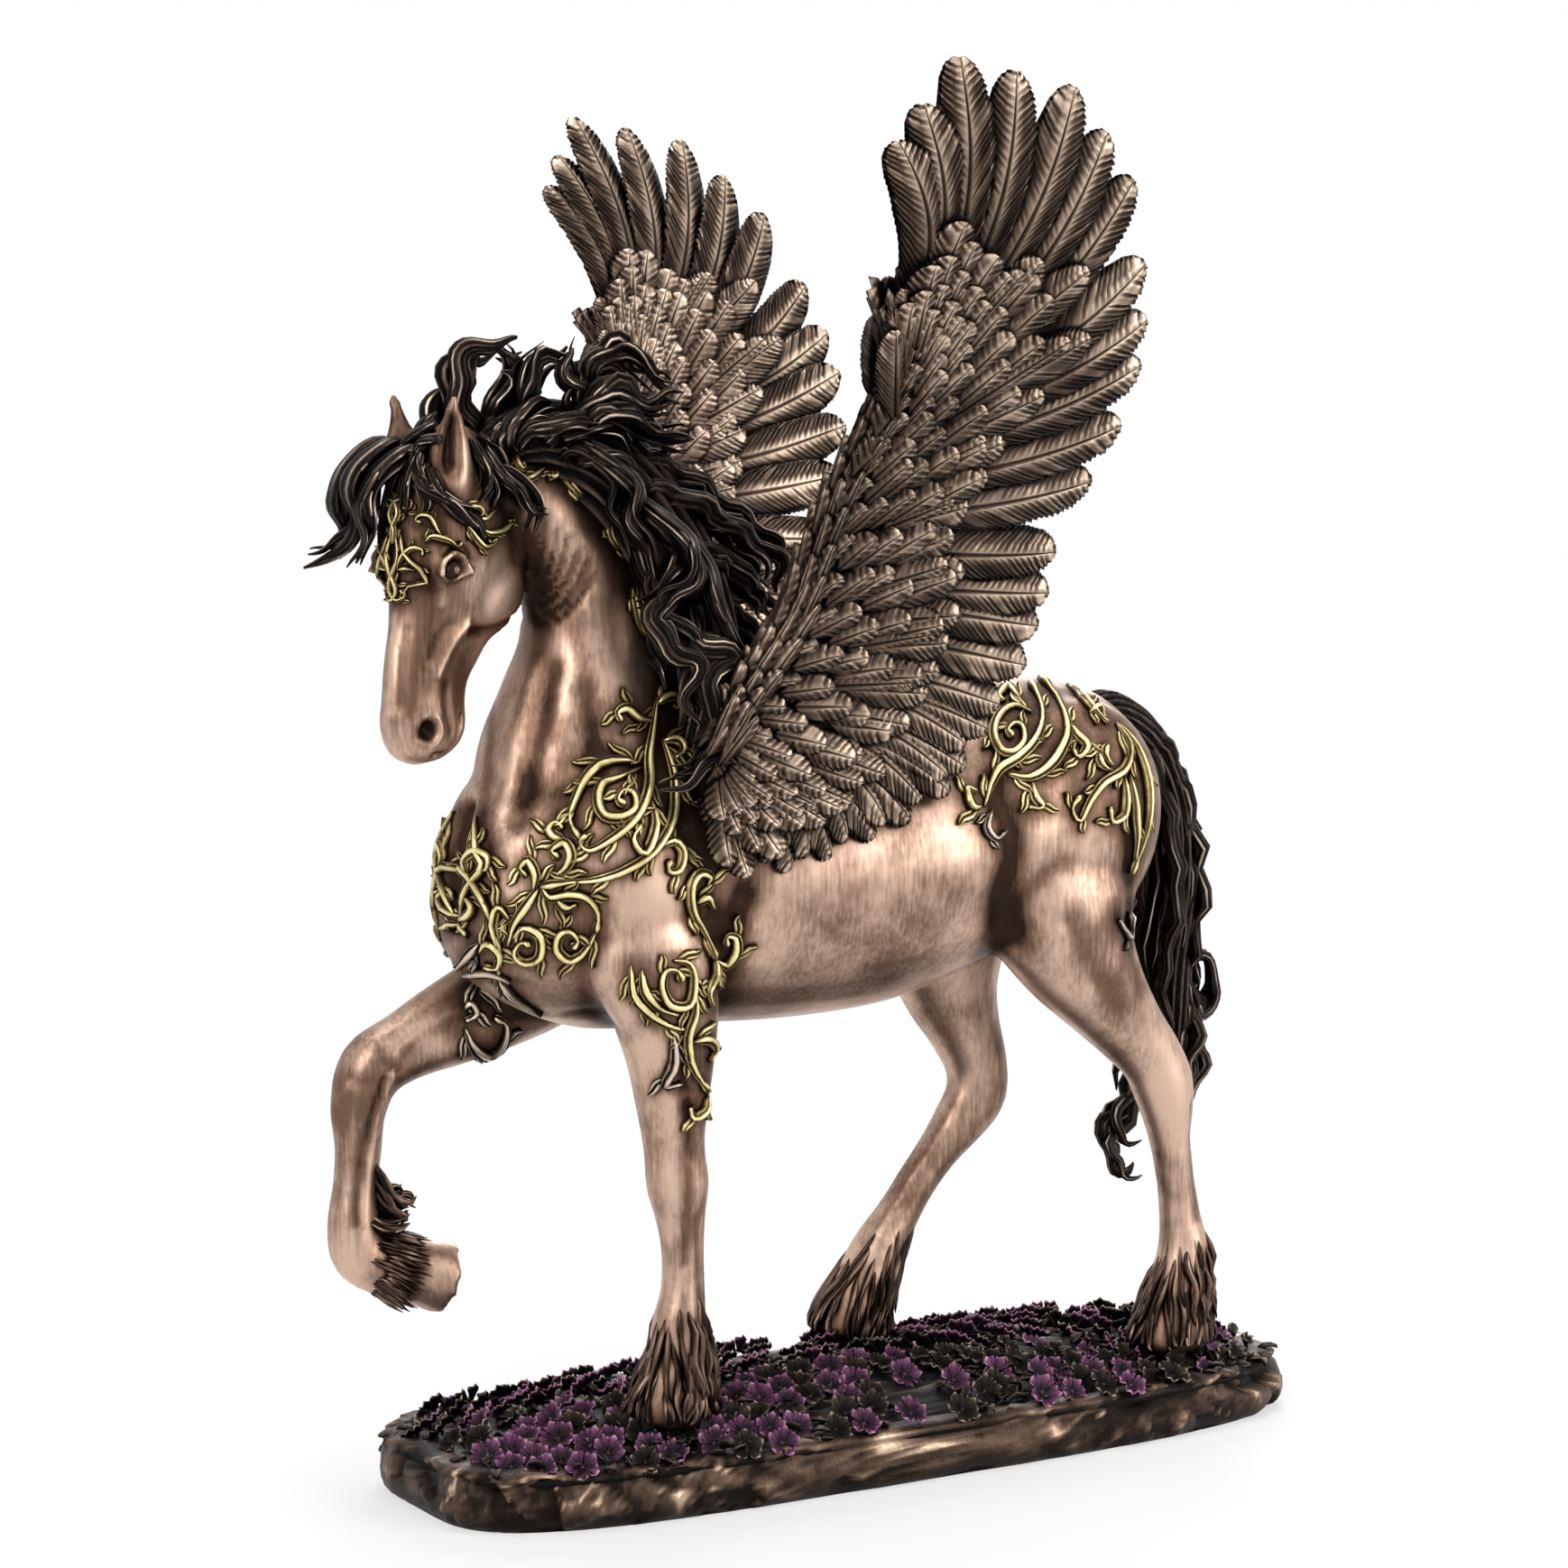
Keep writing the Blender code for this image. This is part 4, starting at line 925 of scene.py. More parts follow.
def wing_core(side):
    """The arm of the wing and the flesh under its feathers, kept nearly black (0.05) as painted
    shade under the feathers.
    """
    spots = ARM[8:-10]
    rows = []
    for i, spot in enumerate(spots[::-1]):
        share = i / (len(spots) - 1)
        centre = wing_place(spot[0], spot[1], 0.0, side)
        radius = 4.8 * (1.15 - 0.55 * share) * min(1.0, 0.15 + i / 14)
        rows.append((*centre, radius, radius * 0.9))
    rings = limb_rings(rows, 12, 1)
    chunks = [tube(rings, np.zeros(rings.shape[:2]) + 0.05)]
    points, faces, shade = muscle(
        (-26, BODY_Y + side * (BODY_WIDTH / 2 - 9), 150), (24, 10, 20), -12
    )
    chunks.append((points, faces, shade + 0.05))
    return chunks


def build_wing(name, side, material):
    """The three pieces of one wing."""
    piece_from(name + "_flight_feathers", flight_feathers(side), material)
    coverts = covert_feathers(side, 1) + covert_feathers(side, -1) + wrist_feathers(side)
    piece_from(name + "_coverts", coverts, material)
    small = small_feathers(side, 1) + small_feathers(side, -1)
    piece_from(name + "_small_feathers", small + edge_feathers(side) + wing_core(side), material)


# Hair


def lock(path, radius, strands=12, twist=0.8, sides=34, flat=0.7, steps=5, wave=0.3,
         lit=(0.02, 0.9, 6), root=1.0):
    """A lock of hair in twisted strands, thick in the middle and pointed at its end. Lit sets the
    thin bright lines on the strand ridges, worn metal and painted highlight, and the lobes come out
    paler.
    """
    centres = smooth_path(path, steps)
    side, front = frames_along(centres)
    t = np.linspace(0, 1, len(centres))
    gone = np.concatenate([[0], np.cumsum(np.linalg.norm(np.diff(centres, axis=0), axis=1))])
    start = rng.uniform(0, 6.28)
    sway = np.sin(gone * 2 * math.pi / 12.0 + start) * wave * radius * np.clip(t * 3, 0, 1)
    centres = centres + side * sway[:, None]
    size = radius * np.clip(0.75 + 0.9 * t - 1.55 * t**2, 0.1, 2)
    size = size * np.clip(root + (1 - root) * t * 3.3, 0, 1)
    turns = 2 * math.pi * np.arange(sides) / sides
    phase = strands * turns[None, :] / 2 + start + twist * math.pi * t[:, None]
    drift = 0.5 * np.sin(2 * turns[None, :] + 9 * t[:, None] + start)
    ridge = np.abs(np.sin(phase + drift))
    lobes = 0.5 + 0.5 * np.cos(3 * turns[None, :] + start * 2 + twist * 4 * t[:, None])
    reach = size[:, None] * (0.82 + 0.17 * ridge**2 + 0.2 * lobes)
    rings = (
        centres[:, None]
        + side[:, None] * (reach * np.cos(turns))[:, :, None]
        + front[:, None] * (reach * flat * np.sin(turns))[:, :, None]
    )
    low, high, power = lit
    shade = np.clip(low + high * ridge**power * (0.35 + 0.65 * lobes) + 0.12 * lobes, 0, 1)
    return tube(rings, shade)


MANE_MASS = [
    (-88, 2, 221, 5, 6), (-76, 1, 223, 9, 8), (-62, 0, 217, 12, 10), (-50, -2, 202, 12, 12),
    (-43, -5, 186, 11, 13), (-41, -8, 170, 9, 12), (-45, -12, 158, 6, 9), (-50, -15, 149, 3, 4),
]
# Locks of mane, ears, brow and tail, in millimetres: path, radius.
MANE_LOCKS = [
    ([(-88, 3, 218), (-89, 2, 226), (-93, 0, 234), (-92, -1, 241), (-87, -2, 244),
      (-80, -2, 244)], 3.4),
    ([(-84, 5, 220), (-83, 4, 227), (-80, 2, 234), (-79, 0, 240), (-82, 0, 243)], 3.0),
    ([(-73, 3, 218), (-73, 2, 225), (-76, 0, 230), (-79, -2, 235), (-75, -2, 240),
      (-68, -1, 243)], 3.2),
    ([(-66, 3, 218), (-65, 0, 225), (-66, -3, 233), (-70, -4, 238), (-69, -4, 243)], 3.0),
    ([(-60, 4, 220), (-60, 5, 227), (-58, 3, 235), (-62, 2, 241), (-59, 2, 244)], 3.2),
    ([(-62, 2, 224), (-62, 2, 232), (-60, 0, 239), (-55, -2, 242), (-51, -4, 238),
      (-44, -5, 233)], 3.4),
    ([(-66, -2, 222), (-67, -4, 228), (-60, -7, 234), (-54, -8, 231), (-46, -9, 232)], 3.2),
    ([(-66, -3, 218), (-64, -7, 228), (-59, -8, 228), (-52, -8, 225), (-43, -8, 223)], 3.4),
    ([(-60, 6, 220), (-53, 9, 228), (-46, 12, 229), (-38, 13, 222)], 3.6),
    ([(-58, -3, 214), (-55, -4, 219), (-43, -3, 216), (-32, -2, 209), (-20, -1, 202),
      (-15, 0, 196)], 3.8),
    ([(-54, 6, 208), (-42, 10, 213), (-32, 13, 206), (-23, 15, 203)], 3.8),
    ([(-54, -6, 209), (-52, -8, 213), (-42, -8, 210), (-30, -6, 203), (-20, -5, 197),
      (-19, -4, 190)], 3.8),
    ([(-48, 4, 196), (-37, 7, 196), (-27, 9, 189), (-19, 10, 188)], 4.0),
    ([(-48, -8, 198), (-38, -10, 199), (-28, -9, 192), (-21, -8, 186)], 3.8),
    ([(-46, -10, 188), (-36, -12, 187), (-28, -12, 180), (-22, -11, 176)], 3.6),
    ([(-44, -12, 178), (-36, -14, 176), (-30, -15, 169), (-27, -16, 162)], 3.2),
    ([(-72, -4, 219), (-69, -8, 222), (-64, -13, 218), (-60, -16, 213), (-62, -17, 207),
      (-59, -19, 202), (-58, -21, 195)], 3.2),
    ([(-60, -10, 212), (-54, -18, 206), (-50, -22, 200), (-51, -25, 195), (-56, -25, 191),
      (-60, -24, 187)], 3.2),
    ([(-52, -10, 206), (-48, -16, 203), (-45, -21, 195), (-45, -25, 188), (-42, -27, 182),
      (-38, -27, 176)], 3.2),
    ([(-54, -16, 198), (-57, -23, 191), (-61, -25, 187), (-58, -27, 182), (-53, -29, 178),
      (-56, -30, 171), (-53, -30, 165)], 3.0),
    ([(-48, -16, 190), (-52, -27, 182), (-45, -30, 179), (-52, -31, 174), (-48, -32, 166),
      (-49, -32, 160), (-55, -31, 155), (-62, -30, 152)], 2.8),
    ([(-47, -16, 182), (-44, -24, 176), (-41, -27, 168), (-45, -29, 161), (-42, -31, 154)], 3.0),
    ([(-66, 8, 216), (-58, 15, 208), (-60, 18, 198), (-54, 20, 188), (-57, 21, 178)], 3.6),
    ([(-58, 12, 208), (-50, 19, 200), (-53, 21, 190), (-48, 24, 180), (-52, 25, 172)], 3.4),
    ([(-54, 14, 198), (-47, 20, 189), (-49, 22, 179), (-43, 24, 169), (-46, 26, 160)], 3.6),
    ([(-74, 6, 218), (-70, 12, 213), (-72, 13, 205), (-67, 15, 198)], 3.0),
]
EAR_LOCKS = [
    ([(-96, -2, 222), (-92, -4, 224), (-90, -9, 218), (-89, -11, 214), (-91, -12, 211)], 2.2),
    ([(-94, -4, 221), (-90, -5, 223), (-88, -11, 217), (-85, -13, 214), (-83, -14, 210),
      (-79, -14, 209)], 2.2),
    ([(-90, -5, 219), (-84, -9, 217), (-80, -12, 211), (-82, -13, 205)], 2.2),
]
FORELOCKS = [
    ([(-98, 0, 218), (-103, -3, 219), (-103, -6, 215), (-100, -10, 213), (-96, -13, 209),
      (-94, -14, 204)], 2.6),
    ([(-98, 2, 218), (-106, 1, 223), (-113, -1, 221), (-118, -1, 215), (-115, 0, 209),
      (-117, 1, 204), (-121, 3, 200), (-126, 4, 199)], 3.2),
    ([(-98, -1, 218), (-105, -4, 222), (-112, -5, 219), (-116, -5, 213), (-115, -5, 206),
      (-118, -4, 200)], 3.0),
    ([(-98, 4, 218), (-108, 5, 223), (-115, 5, 219), (-119, 4, 212), (-116, 5, 206),
      (-119, 6, 201)], 3.2),
    ([(-98, 4, 217), (-99, 4, 222), (-97, 4, 228), (-95, 4, 233), (-93, 4, 235)], 3.2),
    ([(-99, 1, 217), (-101, 1, 222), (-99, 1, 227), (-97, 1, 230)], 2.6),
    ([(-92, 2, 220), (-97, 2, 222), (-102, 2, 221), (-108, 0, 216)], 3.0),
    ([(-92, 5, 219), (-97, 6, 221), (-103, 7, 219), (-109, 8, 214)], 2.8),
    ([(-91, -1, 219), (-96, -2, 221), (-101, -4, 219), (-105, -6, 214)], 2.6),
    ([(-98, 6, 217), (-107, 9, 219), (-113, 11, 213), (-113, 11, 204)], 3.0),
    ([(-98, -2, 219), (-104, -5, 220), (-108, -7, 214), (-108, -8, 208)], 2.4),
    ([(-99, 3, 219), (-108, 2, 221), (-112, 1, 214), (-111, 1, 207)], 2.6),
]
TAIL_CORE = [
    (62, 157, 5.5, 5.5), (70, 158, 6, 6.5), (78, 150.5, 7.4, 8), (83.5, 137, 7.8, 9),
    (85, 120, 8.3, 9.4), (84.5, 103, 7.8, 8.4), (86, 88, 6.4, 7.3), (88, 74, 4.4, 4.4),
    (91, 64, 1.3, 1.3),
]
TAIL_LOCKS = [
    ([(68, 0, 158), (78, -3, 155), (87, -4, 141), (92, -6, 118), (90, -5, 100), (95, -2, 84)], 4.2),
    ([(68, 3, 158), (76, 5, 155), (83, 8, 142), (89, 10, 118), (87, 9, 98), (90, 8, 78)], 4.4),
    ([(70, -2, 155), (76, -6, 149), (80, -9, 136), (82, -11, 116), (80, -9, 98),
      (85, -7, 82)], 4.2),
    ([(70, 6, 155), (76, 10, 146), (80, 12, 132), (82, 12, 112), (79, 11, 94), (83, 11, 78)], 4.2),
    ([(74, -1, 157), (84, 1, 149), (91, 2, 134), (93, 1, 114), (91, 2, 98), (94, 3, 86)], 4.2),
    ([(76, 3, 150), (77, 0, 132), (76, -2, 112), (75, -2, 96), (79, -1, 84)], 4.0),
    ([(86, 2, 112), (94, 4, 94), (99, 4, 87), (103, 3, 92), (101, 3, 99), (97, 4, 98)], 3.4),
    ([(90, 5, 96), (90, 9, 80), (86, 13, 66), (80, 13, 58), (82, 12, 51), (86, 11, 52)], 3.4),
    ([(88, -2, 100), (91, -5, 86), (88, -7, 76), (84, -7, 70), (86, -6, 63)], 3.2),
    ([(90, 2, 92), (96, 1, 80), (95, 0, 70), (89, 0, 66), (91, 1, 59)], 3.2),
    ([(88, 7, 98), (93, 8, 84), (97, 9, 74), (94, 9, 66)], 3.2),
    ([(80, 6, 100), (80, 7, 86), (84, 8, 76), (82, 9, 68)], 3.2),
]


def wisps(locks, count, spread, radius):
    """Thin strands that stray from the locks."""
    chunks = []
    for path, size in locks:
        for _ in range(count):
            shift = np.array([rng.uniform(-spread, spread) for _ in range(3)])
            start = rng.uniform(0.05, 0.2)
            points = np.array(path, float)
            fade = np.linspace(0.4, 1.0, len(points))[:, None]
            moved = points + shift * fade * size * 0.5
            moved = smooth_path(moved, 3)[int(start * 6) :]
            chunks.append(lock(moved[::2] if len(moved) > 8 else moved, radius, strands=2,
                               twist=0.6, sides=8, flat=0.9, steps=3))
    return chunks


def siblings(locks, count, spread, share):
    """Smaller locks that part from each lock and run beside it."""
    chunks = []
    for path, size in locks:
        points = np.array(path, float)
        for _ in range(count):
            way = np.array([rng.uniform(-1, 1) for _ in range(3)])
            way /= np.linalg.norm(way)
            fade = np.linspace(0.5, 1.0, len(points))[:, None]
            moved = points + way * spread * fade
            moved = moved[0] + (moved - moved[0]) * rng.uniform(0.82, 1.0)
            chunks.append(lock(moved, size * share * rng.uniform(0.85, 1.15), strands=6, sides=20,
                               steps=4, wave=rng.uniform(0.3, 0.8)))
    return chunks


def hair_mass(rows, strands):
    """The thick of the mane or tail, grooved along its length, with thin bright lines on its
    ridges: worn metal and painted highlight.
    """
    sides = 76
    rings = limb_rings(rows, sides, 8)
    centre = rings.mean(axis=1, keepdims=True)
    turns = np.arange(sides)[None, :] * 2 * math.pi / sides
    t = np.linspace(0, 1, len(rings))[:, None]
    wave = np.abs(np.sin(strands * turns / 2 + 5 * np.sin(t * 5) + 2 * t))
    rings = centre + (rings - centre) * (0.84 + 0.2 * wave)[:, :, None]
    return tube(rings, 0.02 + 0.6 * wave**5)


# Locks that lie on the crest and on the brow, in points of the camera's frame.
CREST_LOCKS = [
    [(641, 506), (671, 509), (697, 522), (708, 545), (700, 571), (716, 600)],
    [(716, 532), (755, 545), (788, 542), (801, 532)],
    [(716, 552), (749, 561), (781, 552), (800, 560)],
    [(648, 487), (667, 467), (690, 464), (712, 480), (735, 478)],
    [(602, 496), (625, 474), (645, 457), (668, 452)],
    [(575, 498), (600, 478), (640, 470), (680, 478), (705, 500)],
    [(560, 492), (575, 462), (610, 445), (650, 440)],
    [(620, 485), (660, 475), (700, 478), (730, 500), (745, 530)],
    [(690, 570), (715, 590), (735, 620), (728, 650), (745, 680)],
    [(700, 610), (712, 640), (735, 665), (740, 700), (728, 730)],
    [(660, 520), (690, 540), (722, 570), (740, 600), (765, 620)],
    [(735, 500), (765, 520), (790, 560), (815, 590)],
    [(745, 590), (771, 617), (762, 649), (735, 675), (723, 695)],
    [(545, 505), (560, 485), (590, 470), (620, 462)],
    [(680, 500), (715, 505), (745, 520), (770, 550), (780, 585)],
    [(712, 690), (735, 720), (730, 750), (745, 780)],
]
BROW_LOCKS = [
    [(480, 476), (470, 482), (455, 490), (440, 500), (424, 512)],
    [(486, 488), (474, 494), (462, 506), (450, 522)],
    [(472, 494), (448, 488), (425, 490), (404, 500)],
    [(470, 500), (446, 497), (424, 503), (408, 518)],
    [(466, 506), (444, 508), (428, 522), (418, 545)],
    [(474, 505), (470, 520), (478, 540), (492, 552)],
    [(450, 497), (455, 518), (473, 538), (506, 562), (526, 583), (540, 603)],
    [(462, 500), (462, 525), (480, 545), (508, 556), (530, 570)],
    [(455, 505), (442, 530), (432, 560), (428, 590), (420, 620)],
    [(450, 500), (432, 525), (420, 555), (415, 585)],
    [(465, 505), (452, 535), (447, 565), (440, 590)],
    [(475, 515), (468, 540), (470, 560), (462, 580)],
    [(480, 520), (488, 545), (500, 560)],
    [(520, 492), (530, 512), (548, 530), (552, 548), (544, 556)],
    [(530, 490), (552, 512), (568, 540), (580, 560), (602, 562)],
    [(525, 500), (535, 525), (537, 545), (525, 560)],
]


def laid_locks(tree, strokes, radius, count):
    """Locks laid on the hair and skin that the camera sees, with smaller ones beside them."""
    paths = []
    for stroke in strokes:
        path = scroll_path(tree, stroke)[::2]
        if len(path) > 3:
            lifted = [spot + snapped(tree, spot)[1] * radius * 0.5 for spot in path]
            paths.append((lifted, radius * rng.uniform(0.85, 1.15)))
    chunks = [lock(path, size, strands=9, sides=28, steps=3) for path, size in paths]
    return chunks + siblings(paths, count, radius * 0.9, 0.62)


def tree_of(chunks):
    """A tree of several closed skins, to lay things on."""
    points, faces, _ = joined(chunks)
    return BVHTree.FromPolygons(points, faces)


def hair(material, body):
    """Mane, stray locks, forelock and tail."""
    mane = [hair_mass(MANE_MASS, 22)]
    points = mesh_points(body.data)
    flesh = (points, [tuple(face.vertices) for face in body.data.polygons], np.zeros(len(points)))
    both = tree_of([mane[0], flesh])
    mane += laid_locks(both, CREST_LOCKS, 2.7, 2)
    mane += [lock(path, radius) for path, radius in MANE_LOCKS]
    piece_from("mane", mane, material)
    strays = siblings(MANE_LOCKS, 3, 3.0, 0.66) + wisps(MANE_LOCKS, 1, 1.6, 0.8)
    piece_from("mane_strays", strays, material)
    brow = [lock(path, radius, strands=8, sides=26) for path, radius in FORELOCKS + EAR_LOCKS]
    brow += siblings(FORELOCKS, 2, 2.4, 0.7) + siblings(EAR_LOCKS, 2, 1.6, 0.6)
    brow += laid_locks(both, BROW_LOCKS, 1.7, 2)
    piece_from("forelock", brow, material)
    rows = [(x, BODY_Y, z, d, w) for x, z, d, w in TAIL_CORE]
    tail = [hair_mass(rows, 20)]
    moved = [([(x, BODY_Y + y, z) for x, y, z in path], size) for path, size in TAIL_LOCKS]
    tail += [lock(path, radius, wave=0.5) for path, radius in moved]
    tail += siblings(moved, 3, 3.0, 0.6)
    piece_from("tail", tail, material)


# Fetlock hair


def tuft(path, radius):
    """A few hairs of a fetlock."""
    return lock(path, radius, strands=3, twist=0.4, sides=8, flat=0.7, steps=3, wave=0.6,
                lit=(0.05, 1.0, 3), root=0.15)


def round_leg(skin, axis, angle, stand):
    """A place just outside the leg, in the given direction from its axis."""
    way = Vector((math.cos(angle), math.sin(angle), 0))
    start = (Vector(axis) + way * 19) * MM
    place, _, _, _ = skin.ray_cast(start, -way, 19 * MM)
    far = 4.0 if place is None else (Vector(place) / MM - Vector(axis)).length
    return Vector(axis) + way * (far + stand)


def fetlock_hair(skin):
    """Hair that falls over the standing hooves and flies behind the raised one."""
    chunks = []
    for x, out, lean, side in ((-50.5, 0, 0, -1), (77.5, 0, 1, -1), (17, 2, 9, 1)):
        y = BODY_Y + side * (LEG_SPREAD / 2 + out)
        for row, (top, low, count) in enumerate(((27, 5, 26), (22, 0, 30), (17, -1.5, 30))):
            for i in range(count):
                angle = 2 * math.pi * (i + 0.5 * row) / count + rng.uniform(-0.1, 0.1)
                back = 0.5 + 0.5 * math.cos(angle)
                high = top - 3 * (1 - back) + rng.uniform(-3.5, 3.5)
                rows = []
                for t in (0, 0.3, 0.62, 0.85, 1.0):
                    z = high + (low - high) * t
                    mid = x + 2.4 + (lean - 1.6) * min(max(z, 0) / 22, 1.2)
                    turn = angle + 0.12 * math.sin(3 * t + i)
                    stand = -0.8 + 1.5 * t + (0.9 + 1.5 * back) * t * t
                    rows.append(round_leg(skin, (mid, y, GROUND + max(z, 0.3)), turn, stand))
                chunks.append(tuft([tuple(spot) for spot in rows], rng.uniform(1.0, 1.5)))
    y = BODY_Y + LEG_SPREAD / 2
    for i in range(16):
        spread = rng.uniform(-4.2, 4.2)
        top = 70 - 1.4 * i + rng.uniform(-0.5, 0.5)
        chunks.append(tuft([(-107, y + spread * 0.7, top + 6), (-103, y + spread, top - 3),
                            (-98, y + spread, top - 7),
                            (-95.5 + rng.uniform(-2, 1) - 0.15 * i, y + spread * 0.8, top - 6)],
                           1.5))
    for i in range(46):
        angle = 2 * math.pi * i / 46
        way = np.array([math.cos(angle), math.sin(angle)])
        rows = []
        start = rng.uniform(-0.1, 0.3)
        for t in (start, 0.4, 0.7, rng.uniform(0.9, 1.05)):
            x = -107 + 12.0 * t
            z = 51 - 6 * t
            size = 5.6 + 2.3 * t
            rows.append((x + 0.35 * way[1] * size, y + way[0] * size, z + way[1] * size))
        chunks.append(tuft(rows, rng.uniform(0.9, 1.2)))
    flying = [
        ([(-109, y, 70), (-106, y, 65), (-101.5, y, 62), (-97, y, 62.5), (-94.5, y, 61)], 2.4),
        ([(-108, y + 2, 63), (-104, y + 2, 59.5), (-100, y + 2, 58.5), (-97, y + 1, 60)], 2.1),
        ([(-107, y - 2.5, 59), (-103.5, y - 3, 56.5), (-100, y - 3, 56), (-97, y - 3, 57)], 2.0),
    ]
    for path, size in flying:
        chunks.append(lock(path, size, strands=8, sides=26, lit=(0.08, 1.0, 3), wave=0.2))
    chunks += siblings(flying, 5, 2.0, 0.6)
    return chunks


# Scrollwork, drawn in points of the camera's frame

SHOULDER_STROKES = [
    [(727, 773), (722, 807), (718, 834), (718, 865), (712, 891), (697, 914), (674, 932), (654, 942),
     (645, 934), (653, 927)],
    [(733, 819), (742, 845), (747, 872), (742, 910), (723, 943), (695, 963), (664, 974), (633, 977),
     (599, 982)],
    [(711, 847), (685, 843), (664, 850), (649, 865), (638, 888), (633, 910), (645, 932)],
    [(712, 851), (685, 863), (668, 870), (663, 888), (670, 905), (689, 907), (704, 897), (702, 880),
     (690, 877), (684, 887), (692, 894)],
    [(725, 800), (708, 796), (695, 785), (684, 790), (688, 800)],
    [(728, 780), (739, 772), (749, 776), (747, 786)],
    [(734, 822), (749, 822), (757, 832), (747, 841)],
    [(723, 945), (743, 933), (754, 945), (750, 964), (740, 965), (742, 953)],
    [(718, 884), (725, 914), (714, 945), (702, 930), (711, 914)],
    [(614, 972), (630, 960), (635, 945), (626, 934), (611, 943), (620, 951)],
    [(626, 930), (616, 928), (610, 920), (618, 913), (624, 920)],
]
BREAST_STROKES = [
    [(599, 982), (609, 995), (630, 992), (651, 995), (663, 1012), (661, 1032)],
    [(661, 1032), (649, 1052), (632, 1062), (618, 1052), (619, 1037), (630, 1032), (640, 1042),
     (633, 1049)],
    [(614, 995), (626, 1006), (639, 1002)],
    [(597, 984), (584, 1002), (570, 1023), (563, 1046)],
    [(591, 988), (594, 970), (586, 954), (577, 962), (584, 971)],
    [(490, 957), (515, 966), (532, 988), (545, 1018), (556, 1056)],
    [(522, 976), (518, 957), (528, 945), (542, 951), (540, 964), (531, 961)],
    [(504, 899), (493, 926), (488, 953), (493, 983), (504, 1014), (519, 1037)],
    [(568, 1041), (580, 1028), (598, 1037), (598, 1058), (583, 1065), (571, 1056), (578, 1044),
     (588, 1047)],
    [(554, 1056), (549, 1025), (554, 1006), (565, 1018)],
    [(532, 1056), (542, 1046), (554, 1056), (551, 1071), (538, 1069)],
    [(515, 991), (526, 1006), (515, 1018), (506, 1006)],
]
REAR_SHOULDER_STROKES = [
    [(783, 982), (787, 972), (775, 967), (763, 981), (764, 1006), (773, 1025), (783, 1043),
     (790, 1064)],
    [(790, 1064), (802, 1070), (815, 1056), (816, 1039), (806, 1037), (805, 1048)],
    [(768, 1002), (783, 995), (790, 1006)],
    [(790, 1060), (790, 1079), (783, 1098), (787, 1115)],
]
FORELEG_STROKES = [
    [(699, 1070), (703, 1102), (720, 1123), (739, 1136), (758, 1141)],
    [(711, 1075), (715, 1098), (730, 1117), (750, 1125)],
    [(746, 1065), (762, 1069), (767, 1090), (762, 1113), (744, 1113), (734, 1094), (738, 1077),
     (750, 1077), (754, 1088)],
    [(767, 1094), (769, 1121), (761, 1148), (764, 1175), (773, 1194), (783, 1209)],
    [(765, 1155), (783, 1152), (790, 1163), (785, 1176)],
    [(783, 1213), (779, 1230), (768, 1237), (765, 1226)],
]
LEG_DARK_STROKES = [
    [(746, 1146), (747, 1175), (737, 1203), (754, 1201)],
    [(532, 1046), (515, 1065), (490, 1087)],
    [(490, 1087), (515, 1081), (542, 1077), (565, 1087)],
    [(515, 1119), (521, 1115), (526, 1125), (515, 1131)],
    [(553, 1083), (568, 1102), (599, 1123)],
    [(515, 1140), (522, 1159), (539, 1169), (557, 1157), (561, 1136), (547, 1127)],
    [(530, 1098), (545, 1106), (553, 1121)],
]
CROUP_STROKES = [
    [(1090, 894), (1097, 871), (1107, 853), (1126, 842), (1145, 824), (1156, 799), (1152, 776),
     (1142, 758)],
    [(1116, 858), (1139, 863), (1161, 851), (1176, 832), (1184, 809), (1176, 781), (1158, 758),
     (1142, 746), (1126, 749)],
    [(1143, 790), (1123, 783), (1106, 795), (1100, 816), (1108, 834), (1123, 836), (1135, 824),
     (1133, 807), (1123, 803), (1116, 811), (1121, 819)],
    [(1183, 802), (1193, 816), (1203, 828), (1195, 839), (1189, 830)],
    [(1131, 778), (1118, 764), (1106, 772), (1112, 779)],
    [(1087, 894), (1076, 893), (1071, 875), (1080, 878)],
    [(1142, 865), (1145, 884), (1153, 894), (1139, 894)],
    [(1142, 758), (1132, 743), (1145, 739), (1156, 746)],
]
BUTTOCK_STROKES = [
    [(1236, 802), (1249, 823), (1249, 840), (1242, 855), (1222, 867), (1207, 887), (1196, 909),
     (1188, 896), (1198, 882)],
    [(1244, 859), (1246, 882), (1243, 902), (1232, 910), (1230, 894)],
    [(1227, 825), (1222, 836), (1231, 849)],
    [(1216, 834), (1218, 847), (1230, 855)],
    [(1240, 804), (1257, 828), (1269, 863), (1271, 902), (1263, 940), (1252, 968)],
    [(1251, 859), (1256, 894), (1259, 925), (1257, 952)],
    [(1176, 754), (1195, 770), (1211, 788), (1226, 802)],
    [(1207, 791), (1218, 787), (1222, 797)],
]
REAR_DARK_STROKES = [
    [(1098, 898), (1091, 917), (1102, 930), (1113, 922)],
    [(1257, 968), (1262, 1002), (1250, 1038), (1239, 1019)],
    [(1251, 1010), (1252, 1030)],
]
BROW_STROKES = [
    [(433, 591), (429, 613), (424, 634), (430, 647), (432, 658), (424, 663), (421, 654)],
    [(440, 591), (443, 616), (438, 636), (436, 654), (442, 665), (450, 660), (446, 652)],
    [(442, 634), (447, 618), (457, 608), (468, 610), (469, 616)],
    [(438, 603), (440, 587), (437, 571), (444, 557), (457, 556), (455, 564), (449, 563)],
    [(471, 602), (478, 595), (491, 599), (504, 604), (510, 601)],
    [(491, 598), (484, 587), (477, 573), (466, 571), (461, 577), (467, 580)],
    [(442, 632), (451, 630), (461, 632)],
]
